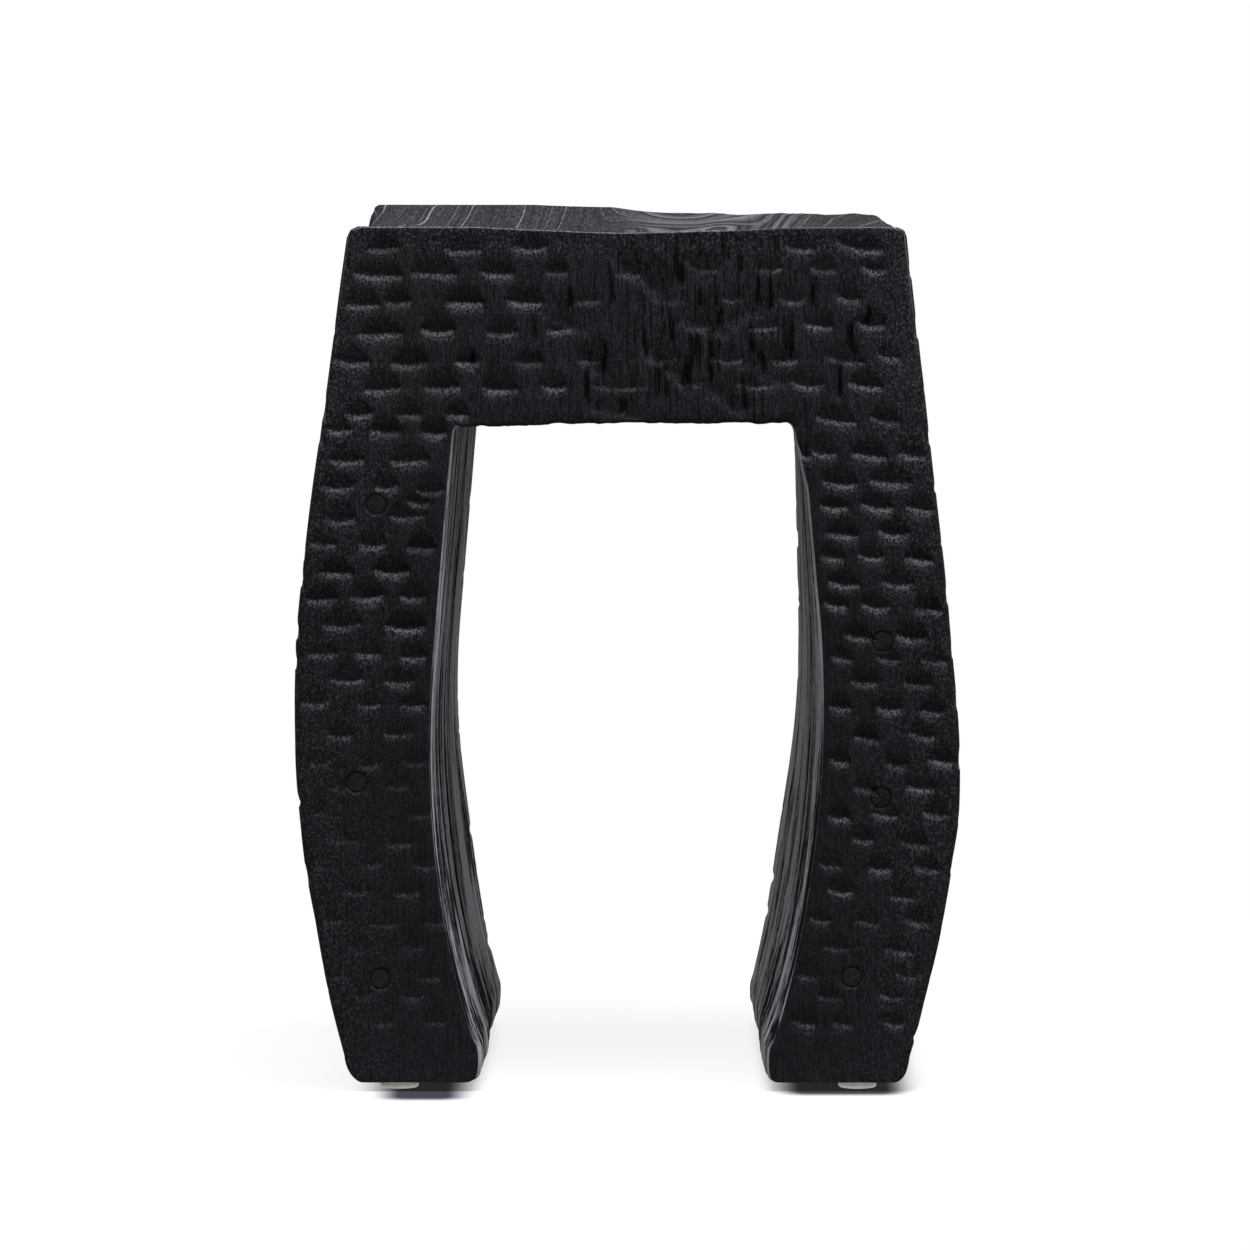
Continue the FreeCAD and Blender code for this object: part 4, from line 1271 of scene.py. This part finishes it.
paper = Shader("studio_paper")
floor_at = paper.node("ShaderNodeTexCoord").outputs["Object"]
from_stool = paper.node("ShaderNodeVectorMath", {0: floor_at}, operation="LENGTH").outputs["Value"]
direct = paper.node("ShaderNodeLightPath").outputs["Is Camera Ray"]
paper.surface.inputs["Roughness"].default_value = 0.95
paper.surface.inputs["Specular IOR Level"].default_value = 0.0
floor_x, floor_y = paper.node("ShaderNodeSeparateXYZ", {0: floor_at}).outputs[:2]


def by_side(left, right):
    on_right = paper.calc("GREATER_THAN", floor_x, 0.0)
    return paper.calc("MULTIPLY_ADD", on_right, right - left, left)


beside = paper.calc("ABSOLUTE", paper.calc("SUBTRACT", floor_x, by_side(*PATCH_X)), 0.0)
beside = paper.calc("MAXIMUM", paper.calc("SUBTRACT", beside, by_side(*PATCH_HALF)), 0.0)
before = paper.calc("MULTIPLY_ADD", floor_y, -1.0, by_side(*PATCH_FRONT))
behind = paper.calc("MAXIMUM", before, paper.calc("SUBTRACT", floor_y, PATCH_BACK))
foot_box = paper.node("ShaderNodeCombineXYZ", {0: beside, 1: paper.calc("MAXIMUM", behind, 0.0)})
from_foot = paper.node(
    "ShaderNodeVectorMath", {0: foot_box.outputs[0]}, operation="LENGTH"
).outputs["Value"]
# Painted shadow: near-black floor colour close to each foot, seen by the camera only
shade = paper.calc("MULTIPLY", paper.band(from_foot, 0.004, 0.03, 1.0, 0.0), direct)
paper.feed(
    paper.surface.inputs["Base Color"],
    paper.blend(shade, (0.95, 0.95, 0.96, 1.0), (0.03, 0.03, 0.035, 1.0)),
)
# Painted light: beside each foot the floor gives off more light than elsewhere, for all rays but the
# camera's, to light the glides
bounce = paper.band(from_foot, 0.0, 0.04, 0.75, BOUNCE)
strength = paper.calc("MAXIMUM", bounce, direct)
glow = paper.node("ShaderNodeEmission", {"Color": (1, 1, 1, 1), "Strength": strength}).outputs[0]
share = paper.calc("MULTIPLY_ADD", shade, -0.86, 0.88)
share = paper.calc("MAXIMUM", share, paper.band(from_stool, 0.25, 0.8))
mixed = paper.node("ShaderNodeMixShader", {0: share, 1: paper.surface.outputs[0], 2: glow})
paper.tree.links.new(mixed.outputs[0], paper.tree.nodes["Material Output"].inputs["Surface"])
bpy.ops.mesh.primitive_plane_add(size=60, location=(0, 0, 0))
floor = bpy.context.object
floor.name = "floor"
floor.data.materials.append(paper.material)

world = bpy.data.worlds.new("studio")
bpy.context.scene.world = world
world.use_nodes = True
nodes, links = world.node_tree.nodes, world.node_tree.links
seen = nodes.new("ShaderNodeLightPath").outputs["Is Camera Ray"]
strength = nodes.new("ShaderNodeMapRange")
strength.inputs[3].default_value, strength.inputs[4].default_value = SKY, 1.0
links.new(seen, strength.inputs[0])
links.new(strength.outputs[0], nodes["Background"].inputs["Strength"])
nodes["Background"].inputs["Color"].default_value = (1.0, 1.0, 1.0, 1)


def softbox(name, place, aim, width, height, power):
    light = bpy.data.lights.new(name, "AREA")
    light.shape, light.size, light.size_y, light.energy = "RECTANGLE", width, height, power
    light.color = (0.98, 0.99, 1.04)
    lamp = bpy.data.objects.new(name, light)
    bpy.context.scene.collection.objects.link(lamp)
    lamp.location = place
    lamp.rotation_euler = (Vector(aim) - Vector(place)).to_track_quat("-Z", "Y").to_euler()


softbox("overhead", (0.3, -0.7, 3.0), (0, 0, 0.3), 2.6, 2.0, 185)
softbox("right", (2.4, -1.2, 1.6), (0, 0, 0.25), 1.2, 1.6, 20)

camera = bpy.data.cameras.new("camera")
camera.lens, camera.sensor_width = 286.34, 36.0
camera.clip_start, camera.clip_end = 0.5, 60
eye = bpy.data.objects.new("camera", camera)
bpy.context.scene.collection.objects.link(eye)
eye.location = (0.00642, -5.28341, 0.65409)
eye.rotation_euler = (math.radians(90 - 4.5724), 0, math.radians(0.086))
bpy.context.scene.camera = eye
bpy.context.scene.view_settings.view_transform = "Standard"
